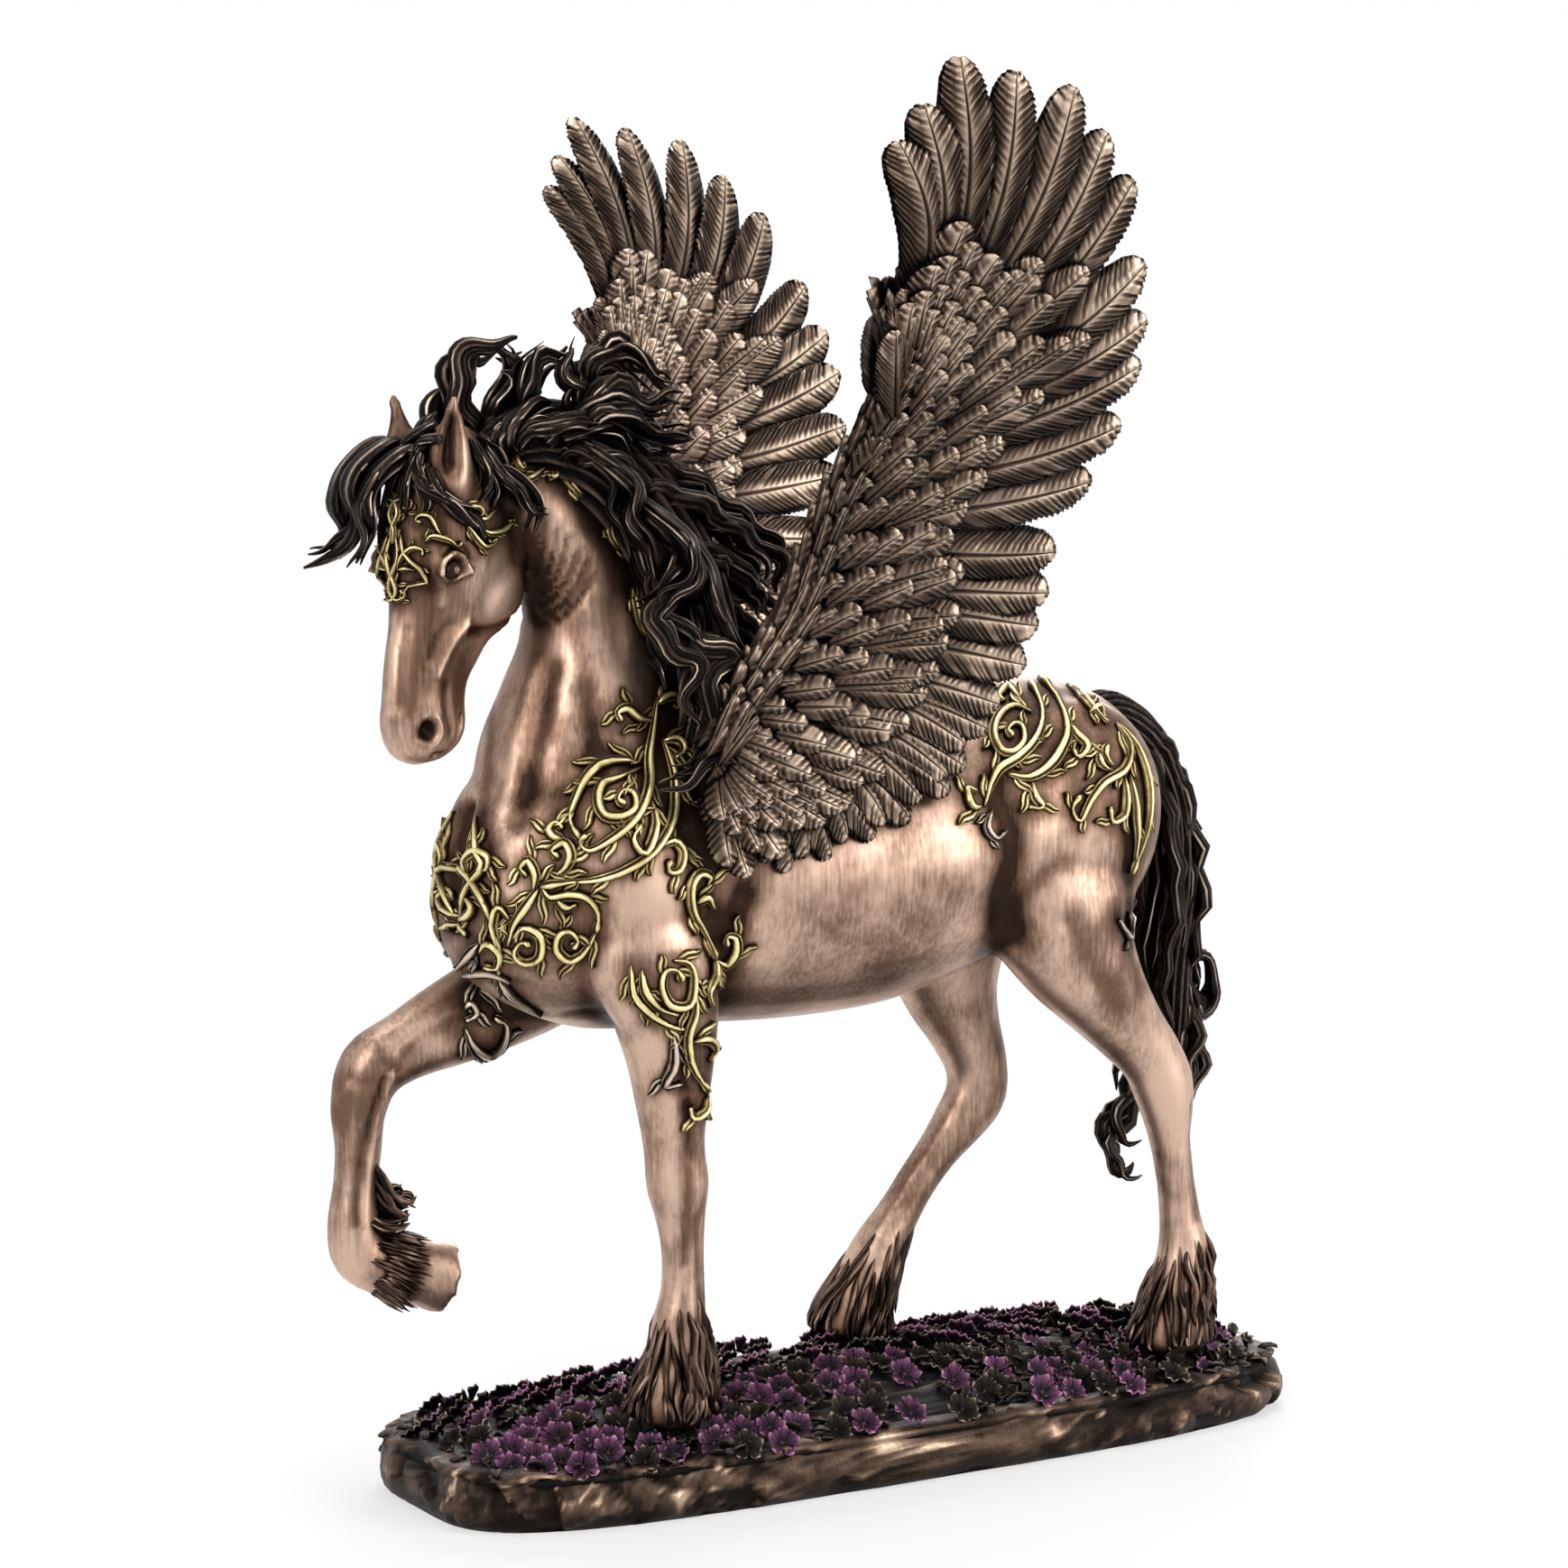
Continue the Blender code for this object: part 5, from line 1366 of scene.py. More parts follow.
TEMPLE_STROKES = [
    [(511, 560), (526, 562), (531, 570), (523, 574)],
    [(523, 575), (535, 576), (545, 567)],
    [(525, 583), (538, 591), (553, 589), (563, 581), (571, 583)],
    [(516, 581), (525, 597), (534, 606), (542, 603), (538, 598)],
]
CREST_STROKES = [
    [(542, 493), (559, 495), (567, 507), (575, 522), (581, 520), (577, 514)],
    [(563, 499), (554, 501), (555, 508), (561, 507)],
    [(570, 535), (587, 532), (600, 523), (616, 512), (632, 506)],
    [(619, 512), (621, 528), (630, 540), (643, 551), (655, 547), (657, 535), (649, 530),
     (643, 536)],
    [(610, 519), (613, 530), (605, 528)],
    [(587, 507), (598, 509), (610, 510)],
    [(634, 507), (642, 522), (655, 528)],
    [(661, 547), (669, 556), (680, 557)],
    [(685, 581), (675, 581), (673, 593), (683, 608), (685, 600)],
    [(705, 642), (706, 664), (714, 691), (719, 713)],
    [(700, 654), (703, 681), (712, 705)],
]


def scroll_path(skin, stroke):
    """A stroke laid on the skin, as the longest run of its points that meet it."""
    spots = smooth_path(stroke, 3)
    runs, run = [], []
    for across, down in spots:
        place = seen_on_skin(skin, across, down)
        if place is not None and (not run or np.linalg.norm(place - run[-1]) < 9):
            run.append(place)
        else:
            runs.append(run)
            run = [] if place is None else [place]
    runs.append(run)
    return max(runs, key=len)


# Outlines across a scroll's stem and across one of its leaves: place, rise and relief.
STEM_FORM = [(-1, -0.6, 0.0), (-0.88, 0.4, 0.3), (-0.62, 0.95, 0.9), (-0.38, 0.45, 0.0),
             (-0.12, 1.05, 0.8), (0.35, 1.15, 1.0), (0.8, 0.6, 0.35), (1, -0.6, 0.0), (0, -0.9, 0)]
LEAF_FORM = [(-1, -0.4, 0.0), (-0.8, 0.55, 0.6), (-0.45, 0.8, 0.9), (-0.1, 0.25, 0.0),
             (0.2, 0.9, 1.0), (0.7, 0.7, 0.5), (1, -0.4, 0.0), (0, -0.9, 0)]


def scroll_strand(skin, path, width, fine=1, leaf=False):
    """A raised scroll or a lobed leaf, laid on the skin along a path."""
    path = smooth_path(path, fine)
    places, normals = [], []
    for spot in path:
        place, normal = snapped(skin, spot)
        places.append(place)
        normals.append(normal)
    places, normals = np.array(places), np.array(normals)
    along = np.gradient(places, axis=0)
    along /= np.linalg.norm(along, axis=1)[:, None] + 1e-9
    side = np.cross(normals, along)
    side /= np.linalg.norm(side, axis=1)[:, None] + 1e-9
    t = np.linspace(0, 1, len(places))
    if leaf:
        size = width * np.clip(np.sin(math.pi * (0.06 + 0.9 * t) ** 0.75) ** 0.7, 0.12, 1)
        rise = SCROLL_HEIGHT * (0.35 + 0.9 * t)
        form = LEAF_FORM
    else:
        size = width * (0.3 + 0.95 * np.sin(math.pi * t**0.75) ** 1.2)
        size = size + width * 0.8 * np.exp(-(((t - 0.96) / 0.05) ** 2))
        rise = SCROLL_HEIGHT * (0.25 + 0.75 * size / width)
        form = STEM_FORM
    rings = np.stack([
        places + side * (size * a)[:, None] + normals * (rise * b)[:, None]
        for a, b, _ in form
    ], axis=1)
    shade = np.ones((len(places), 1)) * np.array([c for _, _, c in form])[None, :]
    return tube(rings, shade)


def leafy_scroll(skin, path, width, reach):
    """A scroll with curved leaves on the outside of its bends."""
    chunks = [scroll_strand(skin, path, width)]
    places = np.array(path)
    along = np.gradient(places, axis=0)
    along /= np.linalg.norm(along, axis=1)[:, None] + 1e-9
    for k in range(1, len(places) - 3, 4):
        _, normal = snapped(skin, places[k])
        side = np.cross(normal, along[k])
        turn = np.cross(along[k - 1], along[k + 1]) @ normal
        sign = -1 if turn > 0 else 1
        size = reach * rng.uniform(0.85, 1.2) * (1.1 - 0.5 * k / len(places))
        a = places[k]
        b = a + (along[k] * 0.6 + side * sign * 0.45) * size
        c = a + (along[k] * 1.2 + side * sign * 0.6) * size
        d = a + (along[k] * 1.6 + side * sign * 0.95) * size
        chunks.append(scroll_strand(skin, [a, b, c, d], width * rng.uniform(0.95, 1.2),
                                    fine=2, leaf=True))
    return chunks


def darken_near(body, paths):
    """Darkens the skin's tone value round the scrolls."""
    spots = np.vstack(paths)
    tree = KDTree(len(spots))
    for i, spot in enumerate(spots):
        tree.insert(spot, i)
    tree.balance()
    points = mesh_points(body.data)
    away = np.array([tree.find(spot)[2] for spot in points.tolist()])
    relief_and_light = np.empty(len(points), np.float32)
    body.data.attributes["relief_and_light"].data.foreach_get("value", relief_and_light)
    relief_and_light = relief_and_light - 0.42 * np.exp(-((away / 3.2) ** 2))
    body.data.attributes["relief_and_light"].data.foreach_set("value", relief_and_light.astype(np.float32))


def across_body(spot):
    """The same place on the body's other side."""
    return np.array([spot[0], 2 * BODY_Y - spot[1], spot[2]])


def across_head(spot):
    """The same place on the head's other side."""
    return turned(across_body(unturned(np.array(spot))))


def scrollwork(body, gold, dark):
    """Gilded scrolls of brow, crest, breast, shoulders, foreleg, croup and buttocks."""
    skin = skin_tree(body)
    gilded, plain, paths = [], [], []
    for strokes, width, reach, mirror, metal in (
        (SHOULDER_STROKES, 1.25, 3.5, across_body, gilded),
        (BREAST_STROKES, 1.15, 3.2, across_body, gilded),
        (REAR_SHOULDER_STROKES, 1.2, 3.0, across_body, gilded),
        (FORELEG_STROKES, 1.15, 2.8, None, gilded),
        (LEG_DARK_STROKES, 1.3, 3.2, None, plain),
        (CROUP_STROKES, 1.2, 3.0, across_body, gilded),
        (BUTTOCK_STROKES, 1.1, 3.0, across_body, gilded),
        (REAR_DARK_STROKES, 1.0, 2.2, across_body, plain),
        (BROW_STROKES, 0.62, 1.3, across_head, gilded),
        (TEMPLE_STROKES, 0.7, 1.3, across_head, gilded),
        (CREST_STROKES, 0.85, 1.8, across_body, gilded),
    ):
        for stroke in strokes:
            path = scroll_path(skin, stroke)
            if len(path) < 4:
                continue
            metal += leafy_scroll(skin, path, width, reach)
            paths.append(path)
            if mirror:
                other = [snapped(skin, mirror(spot))[0] for spot in path]
                paths.append(other)
                metal += leafy_scroll(skin, other, width, reach)
    piece_from("gilt_scrolls", gilded, gold)
    piece_from("bronze_scrolls", plain, dark)
    darken_near(body, paths)


# Base and flowers


def base_outline(angle, inset=0.0):
    """Places on the base's rounded outline."""
    power = 0.52
    cos, sin = np.cos(angle), np.sin(angle)
    x = np.copysign(np.abs(cos) ** power, cos) * (BASE_LENGTH / 2 - inset)
    y = np.copysign(np.abs(sin) ** power, sin) * (BASE_WIDTH / 2 - inset)
    return x, y


def mound(x, y):
    """Height of the earth under the flowers."""
    across = np.minimum(1.0, (2 * x / BASE_LENGTH) ** 2 + (2 * y / BASE_WIDTH) ** 2)
    return BASE_WALL + MOUND_HEIGHT * (1 - across)


def rock(material):
    """A slab with a flat underside and knocked, broken edges."""
    sides = ROCK_SIDES
    turns = 2 * math.pi * (np.arange(sides) + 0.5) / sides
    around = np.cumsum(np.hypot(*(np.roll(side, -1) - side for side in base_outline(turns))))
    girth = around[-1]
    chips = np.array([
        (rng.uniform(0, girth), rng.uniform(-2, 14), rng.uniform(-0.3, 0.3),
         rng.uniform(-0.3, 0.3), rng.uniform(-0.9, 0.6))
        for _ in range(CHIP_COUNT)
    ])
    # height above the table, inset from the outline
    levels = [(0, 3.4), (0.6, 2.6), (1.6, 1.8), (2.8, 1.2), (4.0, 0.9), (5.2, 0.9), (6.4, 1.0),
              (7.5, 1.2), (8.6, 1.5), (9.6, 1.9), (10.4, 2.3), (11.0, 1.7), (11.6, 1.4),
              (12.2, 2.0), (12.6, 3.4), (12.8, 6.0)]
    rings, shade = [], []
    for z, inset in levels:
        x, y = base_outline(turns, inset)
        slant = (around[:, None] - chips[:, 0] + girth / 2) % girth - girth / 2
        rise = z - chips[:, 1]
        far = np.hypot((slant + 0.9 * rise) * 0.62, rise * 1.1)
        nearest = np.argsort(far, axis=1)[:, :2]
        own = nearest[:, 0]
        pick = np.arange(sides)
        facet = (chips[own, 4] + slant[pick, own] * chips[own, 2] + rise[own] * chips[own, 3])
        ridge = np.exp(-(((far[pick, nearest[:, 1]] - far[pick, own]) / 0.35) ** 2))
        ring, dark = [], []
        for a, b, flat, crest in zip(x, y, facet, ridge):
            spot = Vector((a, b, z))
            grain = noise(spot * 0.55)
            rough = 0.9 * flat + 0.8 * noise(spot * 0.06) + 0.35 * grain
            push = min(rough, 1.0) * (1 if z > 0.1 else 0.2)
            lip = max(0.0, 0.4 + 2 * noise(spot * 0.11)) if 10.8 < z < 12.4 else 0
            ring.append((a * (1 + push / 110), b * (1 + push / 42),
                         z + (0.9 * noise(spot * 0.16 + Vector((7, 0, 0))) if z > 9 else 0)))
            # The lip band and the crests between chips are paler: worn edges and painted highlight.
            rim = 0.5 * min(1.0, lip) * (0.6 + 0.8 * grain)
            edge = 0.7 * crest * max(0.0, 0.4 + 2 * noise(spot * 0.12))
            dark.append(min(1, max(0.04, 0.27 + 0.16 * rough + 0.15 * grain + edge + rim)))
        rings.append(ring)
        shade.append(dark)
    for share in (0.8, 0.5, 0.2):
        x, y = base_outline(turns)
        x, y = x * share, y * share
        rings.append(np.stack([x, y, mound(x, y) - 1.0], -1).tolist())
        shade.append([0.1] * sides)
    piece_from("rock", [tube(np.array(rings), np.array(shade))], material)


def petal_flower(radius, lift):
    """A five-petalled blossom with frilled, veined petals, as points, faces and relief."""
    points, faces, shade = [(0, 0, 0.5)], [], [0.9]
    petals = 5
    across = 5
    tones = (0.95, 0.5, 0.8, 0.5, 0.95)
    for p in range(petals):
        middle = 2 * math.pi * p / petals + rng.uniform(-0.1, 0.1)
        cup = lift * rng.uniform(0.75, 1.2)
        start = len(points)
        # Rows of reach, width, rise and tone: the tone is dark at the petal base and brightest at
        # the tip, and the column tones are brightest at the sides and dark on the veins; the bright
        # tips and sides are painted highlight.
        for reach, width, rise, tone in (
            (0.2, 0.42, 0.05, 0.1), (0.8, 0.98, 0.7, 0.45), (1.0, 0.8, 0.85, 1.2)
        ):
            for k in range(across):
                u = 2 * k / (across - 1) - 1
                angle = middle + u * width * math.pi / petals
                far = reach * radius * (1 - 0.13 * u * u + 0.03 * math.cos(u * 9))
                points.append((far * math.cos(angle), far * math.sin(angle),
                               cup * rise + 0.4 * math.cos(u * 6) * reach))
                shade.append(min(1.0, tone * tones[k]))
        for k in range(across - 1):
            faces.append((0, start + k, start + k + 1))
            for row in range(2):
                a = start + row * across + k
                faces.append((a, a + across, a + across + 1, a + 1))
    return np.array(points), faces, np.array(shade)


def closed_leaf(points, faces, shade, thick):
    """A thin open sheet given a back, so that it is a closed solid. The back is darker, at 0.3 of
    the front, painted shade on the underside.
    """
    count = len(points)
    edges = {}
    for face in faces:
        for a, b in zip(face, face[1:] + face[:1]):
            edges[(a, b)] = edges.get((a, b), 0) + 1
    rim = [(a, b) for a, b in edges if (b, a) not in edges]
    low = points - np.array([0, 0, thick])
    out = list(faces) + [tuple(i + count for i in face[::-1]) for face in faces]
    out += [(b, a, a + count, b + count) for a, b in rim]
    return np.vstack([points, low]), out, np.concatenate([shade, shade * 0.3])


def placed(part, centre, tilt, tilt_way, spin):
    """A flower or leaf laid in its place."""
    points, faces, shade = part
    turn = (
        Matrix.Rotation(tilt, 3, Vector((math.cos(tilt_way), math.sin(tilt_way), 0)))
        @ Matrix.Rotation(spin, 3, "Z")
    )
    return points @ np.array(turn).T + np.array(centre), faces, shade


def leaf_shape(length, width):
    """A folded leaf, as points, faces and relief."""
    points, faces, shade = [], [], []
    for k, t in enumerate((0.0, 0.35, 0.7, 1.0)):
        half = width / 2 * (0.3, 1.0, 0.75, 0.08)[k]
        drop = 1.2 * t * (1 - t) * 4 * 0.5
        for u in (-1, 0, 1):
            points.append((length * t, u * half, drop - 0.45 * (1 - abs(u))))
            shade.append(0.25 if u == 0 else 0.75)
    for row in range(3):
        for k in range(2):
            a = row * 3 + k
            faces.append((a, a + 3, a + 4, a + 1))
    return np.array(points), faces, np.array(shade)


def spot_on_base(inset, least, reach):
    """A place on the mound, drawn by chance."""
    angle = rng.uniform(0, 2 * math.pi)
    share = math.sqrt(rng.uniform(least, 1)) * reach
    x, y = base_outline(np.array([angle]), inset)
    return float(x[0]) * share, float(y[0]) * share


def flower_spots():
    """Places of the blossoms, none nearer to another than their gap."""
    spots = []
    for _ in range(9000):
        if len(spots) == FLOWER_COUNT:
            break
        x, y = spot_on_base(2.0, 0, 0.955)
        if all((x - a) ** 2 + (y - b) ** 2 > FLOWER_GAP**2 for a, b in spots):
            spots.append((x, y))
    return spots


def bumpy_ground():
    """The earth between the leaves, closed underneath."""
    turns = 2 * math.pi * np.arange(GROUND_SIDES) / GROUND_SIDES
    rings, shade = [], []
    for share in np.linspace(0.985, 0.02, 30):
        x, y = base_outline(turns, 1.5)
        x, y = x * share, y * share
        bumps = np.array([noise(Vector((a * 0.75, b * 0.75, 3))) for a, b in zip(x, y)])
        clods = np.array([noise(Vector((a * 0.3, b * 0.3, 9))) for a, b in zip(x, y)])
        rings.append(np.stack([x, y, mound(x, y) - 0.5 + 1.1 * bumps + 0.7 * clods], -1))
        shade.append(np.clip(0.1 + 1.5 * bumps, 0, 1))
    rings, shade = rings[::-1], shade[::-1]
    rings.append(rings[-1] * (1, 1, 0) + (0, 0, BASE_WALL - 2))
    shade.append(shade[-1] * 0)
    return tube(np.array(rings)[::-1], np.array(shade)[::-1])


def flower_bed(violet, bronze, leaf_metal):
    """Blossoms crowded over the mound among leaves, some painted and some left bronze."""
    blossoms, plain, leaves = [], [], []
    for x, y in flower_spots():
        z = float(mound(x, y)) + rng.uniform(0.2, 1.6)
        edge = max(abs(2 * x / BASE_LENGTH), abs(2 * y / BASE_WIDTH))
        radius = rng.uniform(3.2, 4.1)
        flower = closed_leaf(*petal_flower(radius, rng.uniform(0.9, 2.0)), 0.45)
        way = math.atan2(y / BASE_WIDTH, x / BASE_LENGTH * 0.5) + math.pi / 2
        tilt = 0.45 + 0.4 * edge + rng.uniform(-0.3, 0.3)
        part = placed(flower, (x, y, z), tilt, way, rng.uniform(0, 6.28))
        if rng.random() < 0.55:
            blossoms.append(part)
        else:
            plain.append(part)
    for _ in range(LEAF_COUNT):
        x, y = spot_on_base(1.5, 0.02, 0.97)
        z = float(mound(x, y)) + rng.uniform(-0.6, 1.4)
        leaf = closed_leaf(*leaf_shape(rng.uniform(2.6, 4.8), rng.uniform(1.7, 3.0)), 0.5)
        spin = rng.uniform(0, 6.28)
        leaves.append(placed(leaf, (x, y, z), rng.uniform(-0.8, 0.8), rng.uniform(0, 6.28), spin))
    piece_from("violet_flowers", blossoms, violet)
    piece_from("bronze_flowers", plain, bronze)
    leaves.append(bumpy_ground())
    piece_from("leaves", leaves, leaf_metal)


# Finishes


def patina_group():
    """Dark wash and painted shade in the hollows, worn metal and painted highlight on the ridges,
    from the relief attribute and from ambient occlusion, which paints shade where neighbours are
    near.
    """
    group = bpy.data.node_groups.new("patina_tone", "ShaderNodeTree")
    face = group.interface
    for name, kind, value in (
        ("Relief And Light", "NodeSocketFloat", 0.5), ("Openness", "NodeSocketFloat", 1.0),
        ("Hollow Colour", "NodeSocketColor", (0.01, 0.008, 0.006, 1)),
        ("Metal Colour", "NodeSocketColor", (0.3, 0.2, 0.15, 1)),
        ("Rubbed And Highlight Colour", "NodeSocketColor", (0.6, 0.45, 0.35, 1)),
        ("Wear And Highlight", "NodeSocketFloat", 0.5), ("Mottle Size", "NodeSocketFloat", 60.0),
        ("Mottle Strength", "NodeSocketFloat", 0.25), ("Brush Strength", "NodeSocketFloat", 0.2),
        ("Hollow Roughness", "NodeSocketFloat", 0.6), ("Ridge Roughness", "NodeSocketFloat", 0.35),
    ):
        socket = face.new_socket(name=name, in_out="INPUT", socket_type=kind)
        socket.default_value = value
    face.new_socket(name="Colour", in_out="OUTPUT", socket_type="NodeSocketColor")
    face.new_socket(name="Roughness", in_out="OUTPUT", socket_type="NodeSocketFloat")
    face.new_socket(name="Height", in_out="OUTPUT", socket_type="NodeSocketFloat")
    nodes, links = group.nodes, group.links
    given, out = nodes.new("NodeGroupInput"), nodes.new("NodeGroupOutput")
    place = nodes.new("ShaderNodeTexCoord")
    mottle = nodes.new("ShaderNodeTexNoise")
    mottle.inputs["Detail"].default_value = 6
    mottle.inputs["Roughness"].default_value = 0.62
    links.new(place.outputs["Object"], mottle.inputs["Vector"])
    links.new(given.outputs["Mottle Size"], mottle.inputs["Scale"])
    grain = nodes.new("ShaderNodeTexNoise")
    grain.inputs["Scale"].default_value = 900
    grain.inputs["Detail"].default_value = 3
    links.new(place.outputs["Object"], grain.inputs["Vector"])

    stretch = nodes.new("ShaderNodeVectorMath")
    stretch.operation = "MULTIPLY"
    links.new(place.outputs["Object"], stretch.inputs[0])
    stretch.inputs[1].default_value = (1300, 1300, 130)
    brush = nodes.new("ShaderNodeTexNoise")
    brush.inputs["Scale"].default_value = 1
    brush.inputs["Detail"].default_value = 4
    links.new(stretch.outputs["Vector"], brush.inputs["Vector"])

    def maths(kind, a, b, clamp=False):
        node = nodes.new("ShaderNodeMath")
        node.operation = kind
        node.use_clamp = clamp
        for socket, value in ((node.inputs[0], a), (node.inputs[1], b)):
            if isinstance(value, (int, float)):
                socket.default_value = value
            else:
                links.new(value, socket)
        return node.outputs[0]

    def ramp(value, low, high):
        node = nodes.new("ShaderNodeMapRange")
        node.interpolation_type = "SMOOTHSTEP"
        links.new(value, node.inputs["Value"])
        node.inputs["From Min"].default_value = low
        node.inputs["From Max"].default_value = high
        return node.outputs["Result"]

    def blend(factor, a, b):
        node = nodes.new("ShaderNodeMix")
        node.data_type = "RGBA"
        links.new(factor, node.inputs[0])
        links.new(a, node.inputs[6])
        links.new(b, node.inputs[7])
        return node.outputs[2]

    cloud = maths("SUBTRACT", mottle.outputs["Fac"], 0.5)
    cloud = maths("MULTIPLY", cloud, given.outputs["Mottle Strength"])
    strokes = maths("SUBTRACT", brush.outputs["Fac"], 0.5)
    strokes = maths("MULTIPLY", strokes, given.outputs["Brush Strength"])
    level = maths("ADD", maths("ADD", given.outputs["Relief And Light"], cloud), strokes)
    # Openness is the material's ambient occlusion: it darkens the colour near other surfaces,
    # painted shade that also stands for dark wash in recesses.
    level = maths("MULTIPLY", level, given.outputs["Openness"], True)
    metal = ramp(level, 0.08, 0.5)
    # The pale third colour is worn metal and also painted highlight on ridges, swellings and lit
    # rims.
    rubbed_and_highlight = maths("MULTIPLY", ramp(level, 0.45, 0.95), given.outputs["Wear And Highlight"], True)
    tone = blend(metal, given.outputs["Hollow Colour"], given.outputs["Metal Colour"])
    tone = blend(rubbed_and_highlight, tone, given.outputs["Rubbed And Highlight Colour"])
    links.new(tone, out.inputs["Colour"])
    gain = maths("SUBTRACT", given.outputs["Ridge Roughness"], given.outputs["Hollow Roughness"])
    rough = maths("ADD", maths("MULTIPLY", level, gain), given.outputs["Hollow Roughness"])
    speck = maths("MULTIPLY", maths("SUBTRACT", grain.outputs["Fac"], 0.5), 0.12)
    links.new(maths("ADD", rough, speck, True), out.inputs["Roughness"])
    links.new(maths("ADD", grain.outputs["Fac"], mottle.outputs["Fac"]), out.inputs["Height"])
    return group


def patina(name, group, hollow, metal, rubbed_and_highlight, wear_and_highlight=1.0, mottle_size=60.0, mottle=0.25,
           metallic=0.85, bump=0.12, reach=6.0, open_power=1.0, rough=(0.6, 0.35),
           brush=0.15):
    """A finish of three colours. Reach is how near, in mm, a neighbour must be for the ambient
    occlusion to paint shade into a hollow.
    """
    material = bpy.data.materials.new(name)
    material.use_nodes = True
    nodes, links = material.node_tree.nodes, material.node_tree.links
    shader = nodes["Principled BSDF"]
    tone = nodes.new("ShaderNodeGroup")
    tone.node_tree = group
    tone.inputs["Hollow Colour"].default_value = (*hollow, 1)
    tone.inputs["Metal Colour"].default_value = (*metal, 1)
    tone.inputs["Rubbed And Highlight Colour"].default_value = (*rubbed_and_highlight, 1)
    tone.inputs["Wear And Highlight"].default_value = wear_and_highlight
    tone.inputs["Mottle Size"].default_value = mottle_size
    tone.inputs["Mottle Strength"].default_value = mottle
    tone.inputs["Brush Strength"].default_value = brush
    tone.inputs["Hollow Roughness"].default_value = rough[0]
    tone.inputs["Ridge Roughness"].default_value = rough[1]
    relief_and_light = nodes.new("ShaderNodeAttribute")
    relief_and_light.attribute_name = "relief_and_light"
    links.new(relief_and_light.outputs["Fac"], tone.inputs["Relief And Light"])
    # Ambient occlusion used as colour: painted shade in hollows and in gaps between parts, feeding
    # Openness.
    shade = nodes.new("ShaderNodeAmbientOcclusion")
    shade.samples = 6
    shade.inputs["Distance"].default_value = reach * MM
    power = nodes.new("ShaderNodeMath")
    power.operation = "POWER"
    links.new(shade.outputs["AO"], power.inputs[0])
    power.inputs[1].default_value = open_power
    links.new(power.outputs[0], tone.inputs["Openness"])
    links.new(tone.outputs["Colour"], shader.inputs["Base Color"])
    links.new(tone.outputs["Roughness"], shader.inputs["Roughness"])
    shader.inputs["Metallic"].default_value = metallic
    shader.inputs["Specular IOR Level"].default_value = 0.2
    dimple = nodes.new("ShaderNodeBump")
    dimple.inputs["Strength"].default_value = bump
    dimple.inputs["Distance"].default_value = 0.0004
    links.new(tone.outputs["Height"], dimple.inputs["Height"])
    links.new(dimple.outputs["Normal"], shader.inputs["Normal"])
    return material


# Room, lamps and camera


def white_rays(nodes, links):
    """1 for the rays that see a white room: from the camera, off metal and through glass."""
    rays = nodes.new("ShaderNodeLightPath")
    seen = rays.outputs["Is Camera Ray"]
    for name in ("Is Glossy Ray", "Is Transmission Ray"):
        most = nodes.new("ShaderNodeMath")
        most.operation = "MAXIMUM"
        links.new(seen, most.inputs[0])
        links.new(rays.outputs[name], most.inputs[1])
        seen = most.outputs[0]
    return seen


def white_floor():
    """A pale floor that keeps the figurine's shadow and fades to white round it."""
    bpy.ops.object.select_all(action="DESELECT")
    bpy.ops.mesh.primitive_plane_add(size=8.0, location=(0, 0, 0))
    floor = bpy.context.active_object
    floor.name = "floor"
    material = bpy.data.materials.new("pale_floor")
    material.use_nodes = True
    nodes, links = material.node_tree.nodes, material.node_tree.links
    shader = nodes["Principled BSDF"]
    shader.inputs["Base Color"].default_value = (0.92, 0.92, 0.92, 1)
    shader.inputs["Roughness"].default_value = 0.9
    white = nodes.new("ShaderNodeEmission")
    white.inputs["Color"].default_value = (1, 1, 1, 1)
    white.inputs["Strength"].default_value = 1.0
    place = nodes.new("ShaderNodeTexCoord")
    away = nodes.new("ShaderNodeVectorMath")
    away.operation = "LENGTH"
    links.new(place.outputs["Object"], away.inputs[0])
    fade = nodes.new("ShaderNodeMapRange")
    fade.interpolation_type = "SMOOTHSTEP"
    links.new(away.outputs["Value"], fade.inputs["Value"])
    fade.inputs["From Min"].default_value = 0.12
    fade.inputs["From Max"].default_value = 0.4
    fade.inputs["To Min"].default_value = 0.6
    fade.inputs["To Max"].default_value = 1.0
    share = nodes.new("ShaderNodeMath")
    share.operation = "MULTIPLY"
    links.new(white_rays(nodes, links), share.inputs[0])
    links.new(fade.outputs["Result"], share.inputs[1])
    mix = nodes.new("ShaderNodeMixShader")
    links.new(share.outputs[0], mix.inputs["Fac"])
    links.new(shader.outputs[0], mix.inputs[1])
    links.new(white.outputs[0], mix.inputs[2])
    links.new(mix.outputs[0], nodes["Material Output"].inputs["Surface"])
    floor.data.materials.append(material)


def white_world():
    """A grey world that lights the figurine, and looks white."""
    world = bpy.data.worlds.new("studio")
    bpy.context.scene.world = world
    world.use_nodes = True
    nodes, links = world.node_tree.nodes, world.node_tree.links
    ground = nodes["Background"]
    ground.inputs["Color"].default_value = (0.38, 0.38, 0.38, 1)
    plain = nodes.new("ShaderNodeBackground")
    plain.inputs["Color"].default_value = (1, 1, 1, 1)
    mix = nodes.new("ShaderNodeMixShader")
    links.new(white_rays(nodes, links), mix.inputs["Fac"])
    links.new(ground.outputs[0], mix.inputs[1])
    links.new(plain.outputs[0], mix.inputs[2])
    links.new(mix.outputs[0], nodes["World Output"].inputs["Surface"])


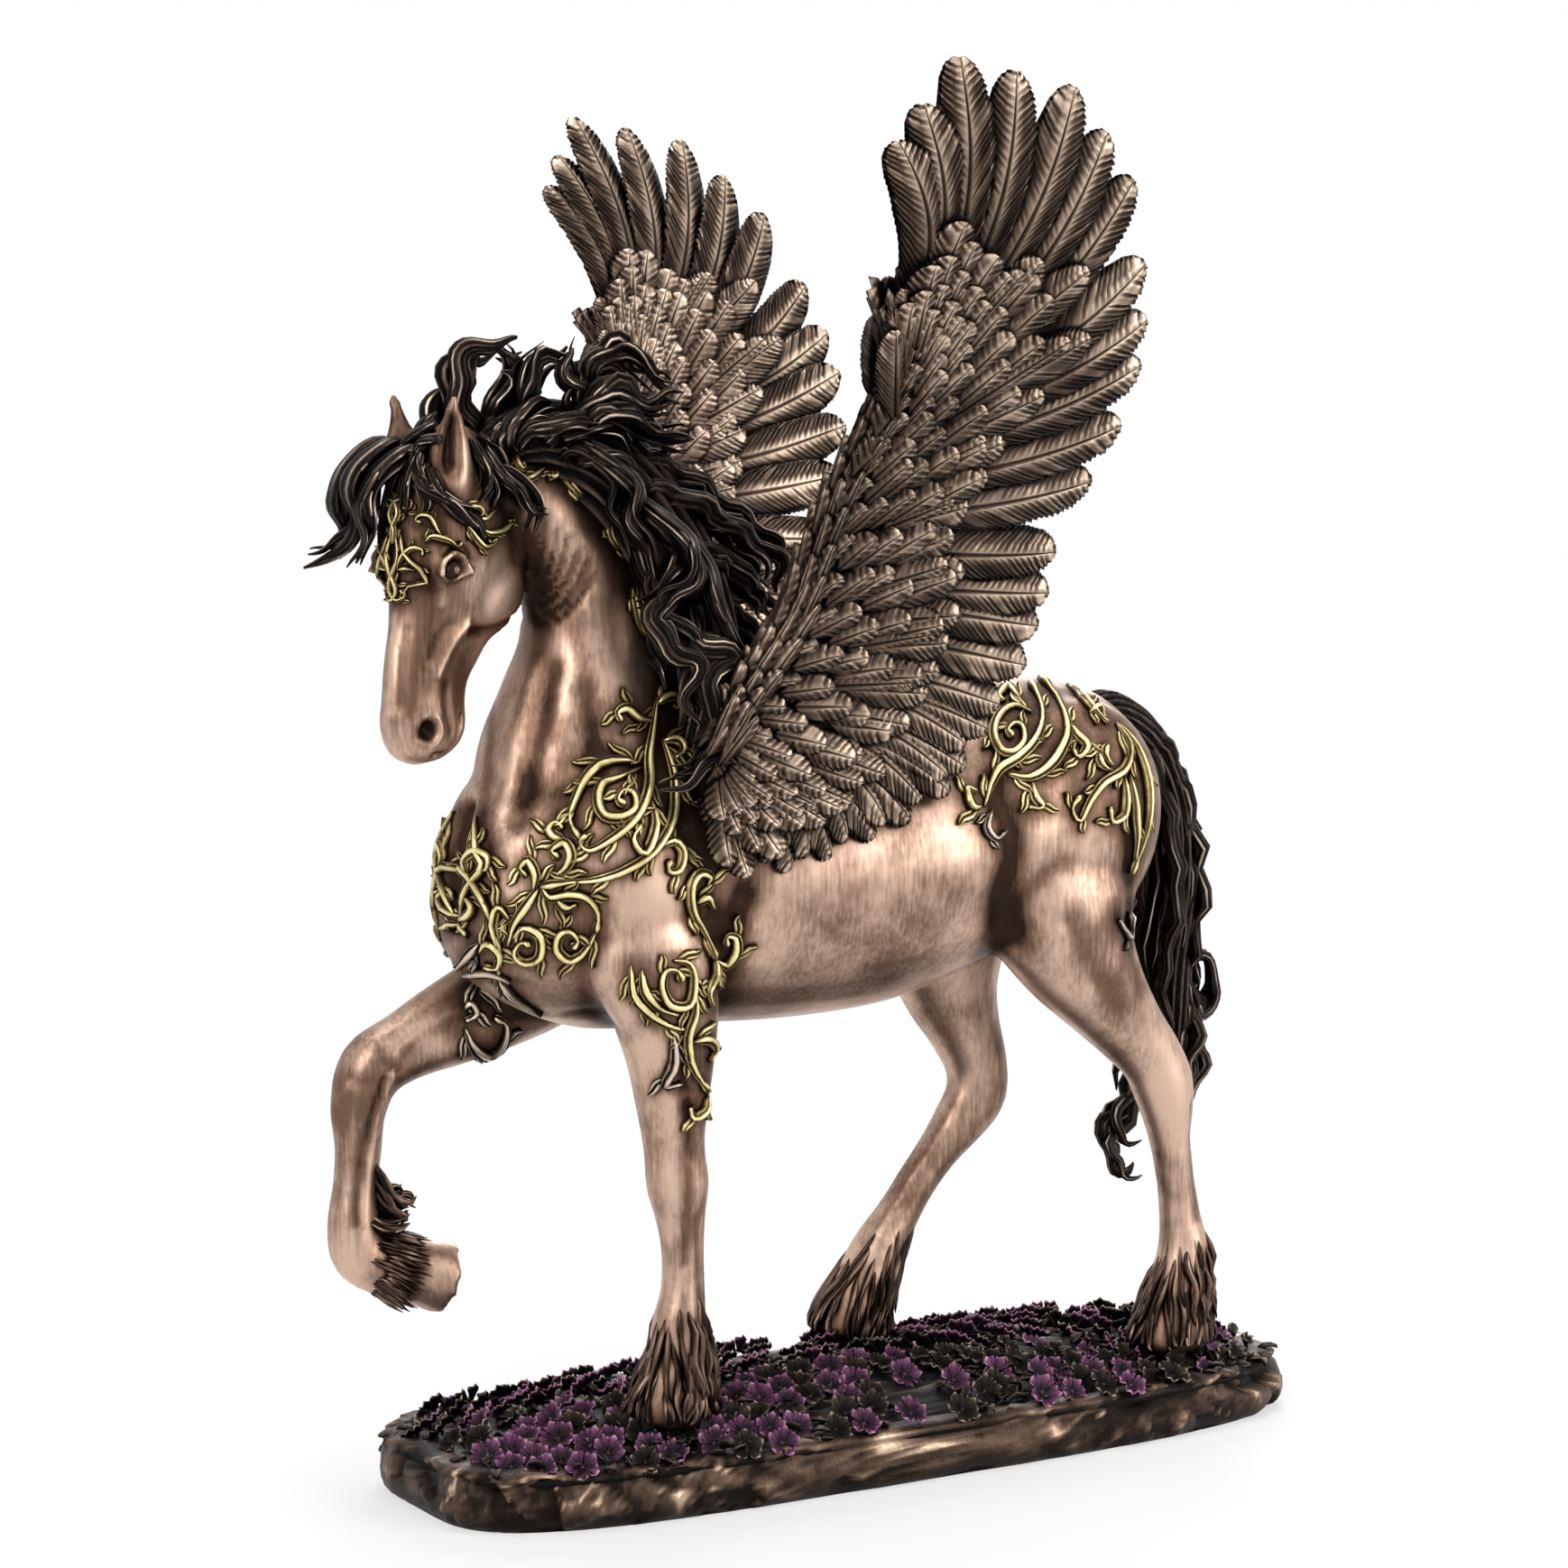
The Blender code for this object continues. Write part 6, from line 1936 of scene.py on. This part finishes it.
def aim(obj, place):
    """Puts a lamp or the camera at a place, turned to the middle of the figurine."""
    obj.location = place
    way = Vector(VIEW_TARGET) - Vector(place)
    obj.rotation_euler = way.to_track_quat("-Z", "Y").to_euler()
    bpy.context.scene.collection.objects.link(obj)


def studio():
    """Four soft lamps and the camera that stands where the photograph's did."""
    for name, place, size, power in (
        ("key", (-0.95, -0.75, 0.75), (0.6, 1.0), 8.5),
        ("fill", (0.75, -0.95, 0.45), (0.6, 0.9), 6.5),
        ("top", (0.1, 0.1, 1.15), (0.7, 0.7), 6),
        ("back", (0.6, 0.9, 0.6), (0.5, 0.8), 6),
    ):
        data = bpy.data.lights.new(name, "AREA")
        data.shape = "RECTANGLE"
        data.size, data.size_y = size
        data.energy = power
        aim(bpy.data.objects.new(name, data), place)
    data = bpy.data.cameras.new("camera")
    data.sensor_width = 36
    data.lens = VIEW_LENS
    camera = bpy.data.objects.new("camera", data)
    aim(camera, VIEW_PLACE)
    bpy.context.scene.camera = camera
    bpy.context.scene.view_settings.view_transform = "Standard"


group = patina_group()
# The skin's strong mottle is patina and also paints the pale and dark reflection patches of the
# metal, painted reflection; the brush streaks are patina.
skin_bronze = patina("bronze_skin", group, (0.03, 0.016, 0.01), (0.17, 0.098, 0.065),
                     (0.66, 0.46, 0.35), mottle_size=24, mottle=1.7, metallic=0.92,
                     bump=0.05, reach=16, open_power=1.2, rough=(0.48, 0.37), brush=0.4)
wing_bronze = patina("feather_bronze", group, (0.005, 0.0035, 0.003), (0.095, 0.063, 0.045),
                     (0.8, 0.62, 0.47), mottle_size=45, mottle=0.6, metallic=0.9, reach=6,
                     open_power=2.3, rough=(0.52, 0.32))
fur_bronze = patina("fetlock_bronze", group, (0.01, 0.006, 0.005), (0.14, 0.086, 0.06),
                    (0.62, 0.44, 0.33), mottle_size=45, mottle=0.6, metallic=0.9, reach=3,
                    open_power=1.2, rough=(0.5, 0.3))
hair_bronze = patina("hair_bronze", group, (0.004, 0.003, 0.0025), (0.06, 0.042, 0.032),
                     (0.78, 0.62, 0.48), mottle_size=45, mottle=0.3, metallic=0.9, reach=4,
                     open_power=1.3, rough=(0.5, 0.34))
rock_bronze = patina("rock_bronze", group, (0.012, 0.008, 0.006), (0.11, 0.07, 0.048),
                     (0.55, 0.4, 0.28), mottle_size=90, mottle=0.5, bump=0.5,
                     rough=(0.55, 0.34))
violet = patina("violet_flower_paint", group, (0.01, 0.005, 0.009), (0.24, 0.075, 0.19),
                (0.95, 0.68, 0.66), mottle_size=140, mottle=0.6, metallic=0.2, reach=4,
                rough=(0.6, 0.42))
leaf_metal = patina("leaf_bronze", group, (0.006, 0.005, 0.004), (0.045, 0.034, 0.026),
                    (0.7, 0.52, 0.38), mottle_size=120, mottle=0.4, metallic=0.55, reach=4,
                    open_power=1.3, rough=(0.7, 0.42))
flower_bronze = patina("flower_bronze", group, (0.006, 0.005, 0.004), (0.05, 0.037, 0.027),
                       (0.8, 0.62, 0.45), mottle_size=120, mottle=0.4, metallic=0.75,
                       reach=4, open_power=0.9, rough=(0.6, 0.38))
gold = patina("gilding", group, (0.016, 0.009, 0.005), (0.2, 0.125, 0.042),
              (0.97, 0.85, 0.43), mottle_size=140, mottle=1.1, metallic=0.8, reach=3,
              open_power=2.2, rough=(0.45, 0.3))
eye_bronze = patina("eye_bronze", group, (0.02, 0.012, 0.008), (0.1, 0.06, 0.04),
                    (0.3, 0.2, 0.15), wear_and_highlight=0.5, metallic=0.6, reach=2,
                    rough=(0.25, 0.12))

body, eye_place = horse_skin(skin_bronze)
eyes(eye_bronze, eye_place)
piece_from("fetlock_hair", fetlock_hair(skin_tree(body)), fur_bronze)
for name, side in (("left_wing", -1), ("right_wing", 1)):
    build_wing(name, side, wing_bronze)
hair(hair_bronze, body)
scrollwork(body, gold, hair_bronze)
rock(rock_bronze)
flower_bed(violet, flower_bronze, leaf_metal)
white_floor()
white_world()
studio()
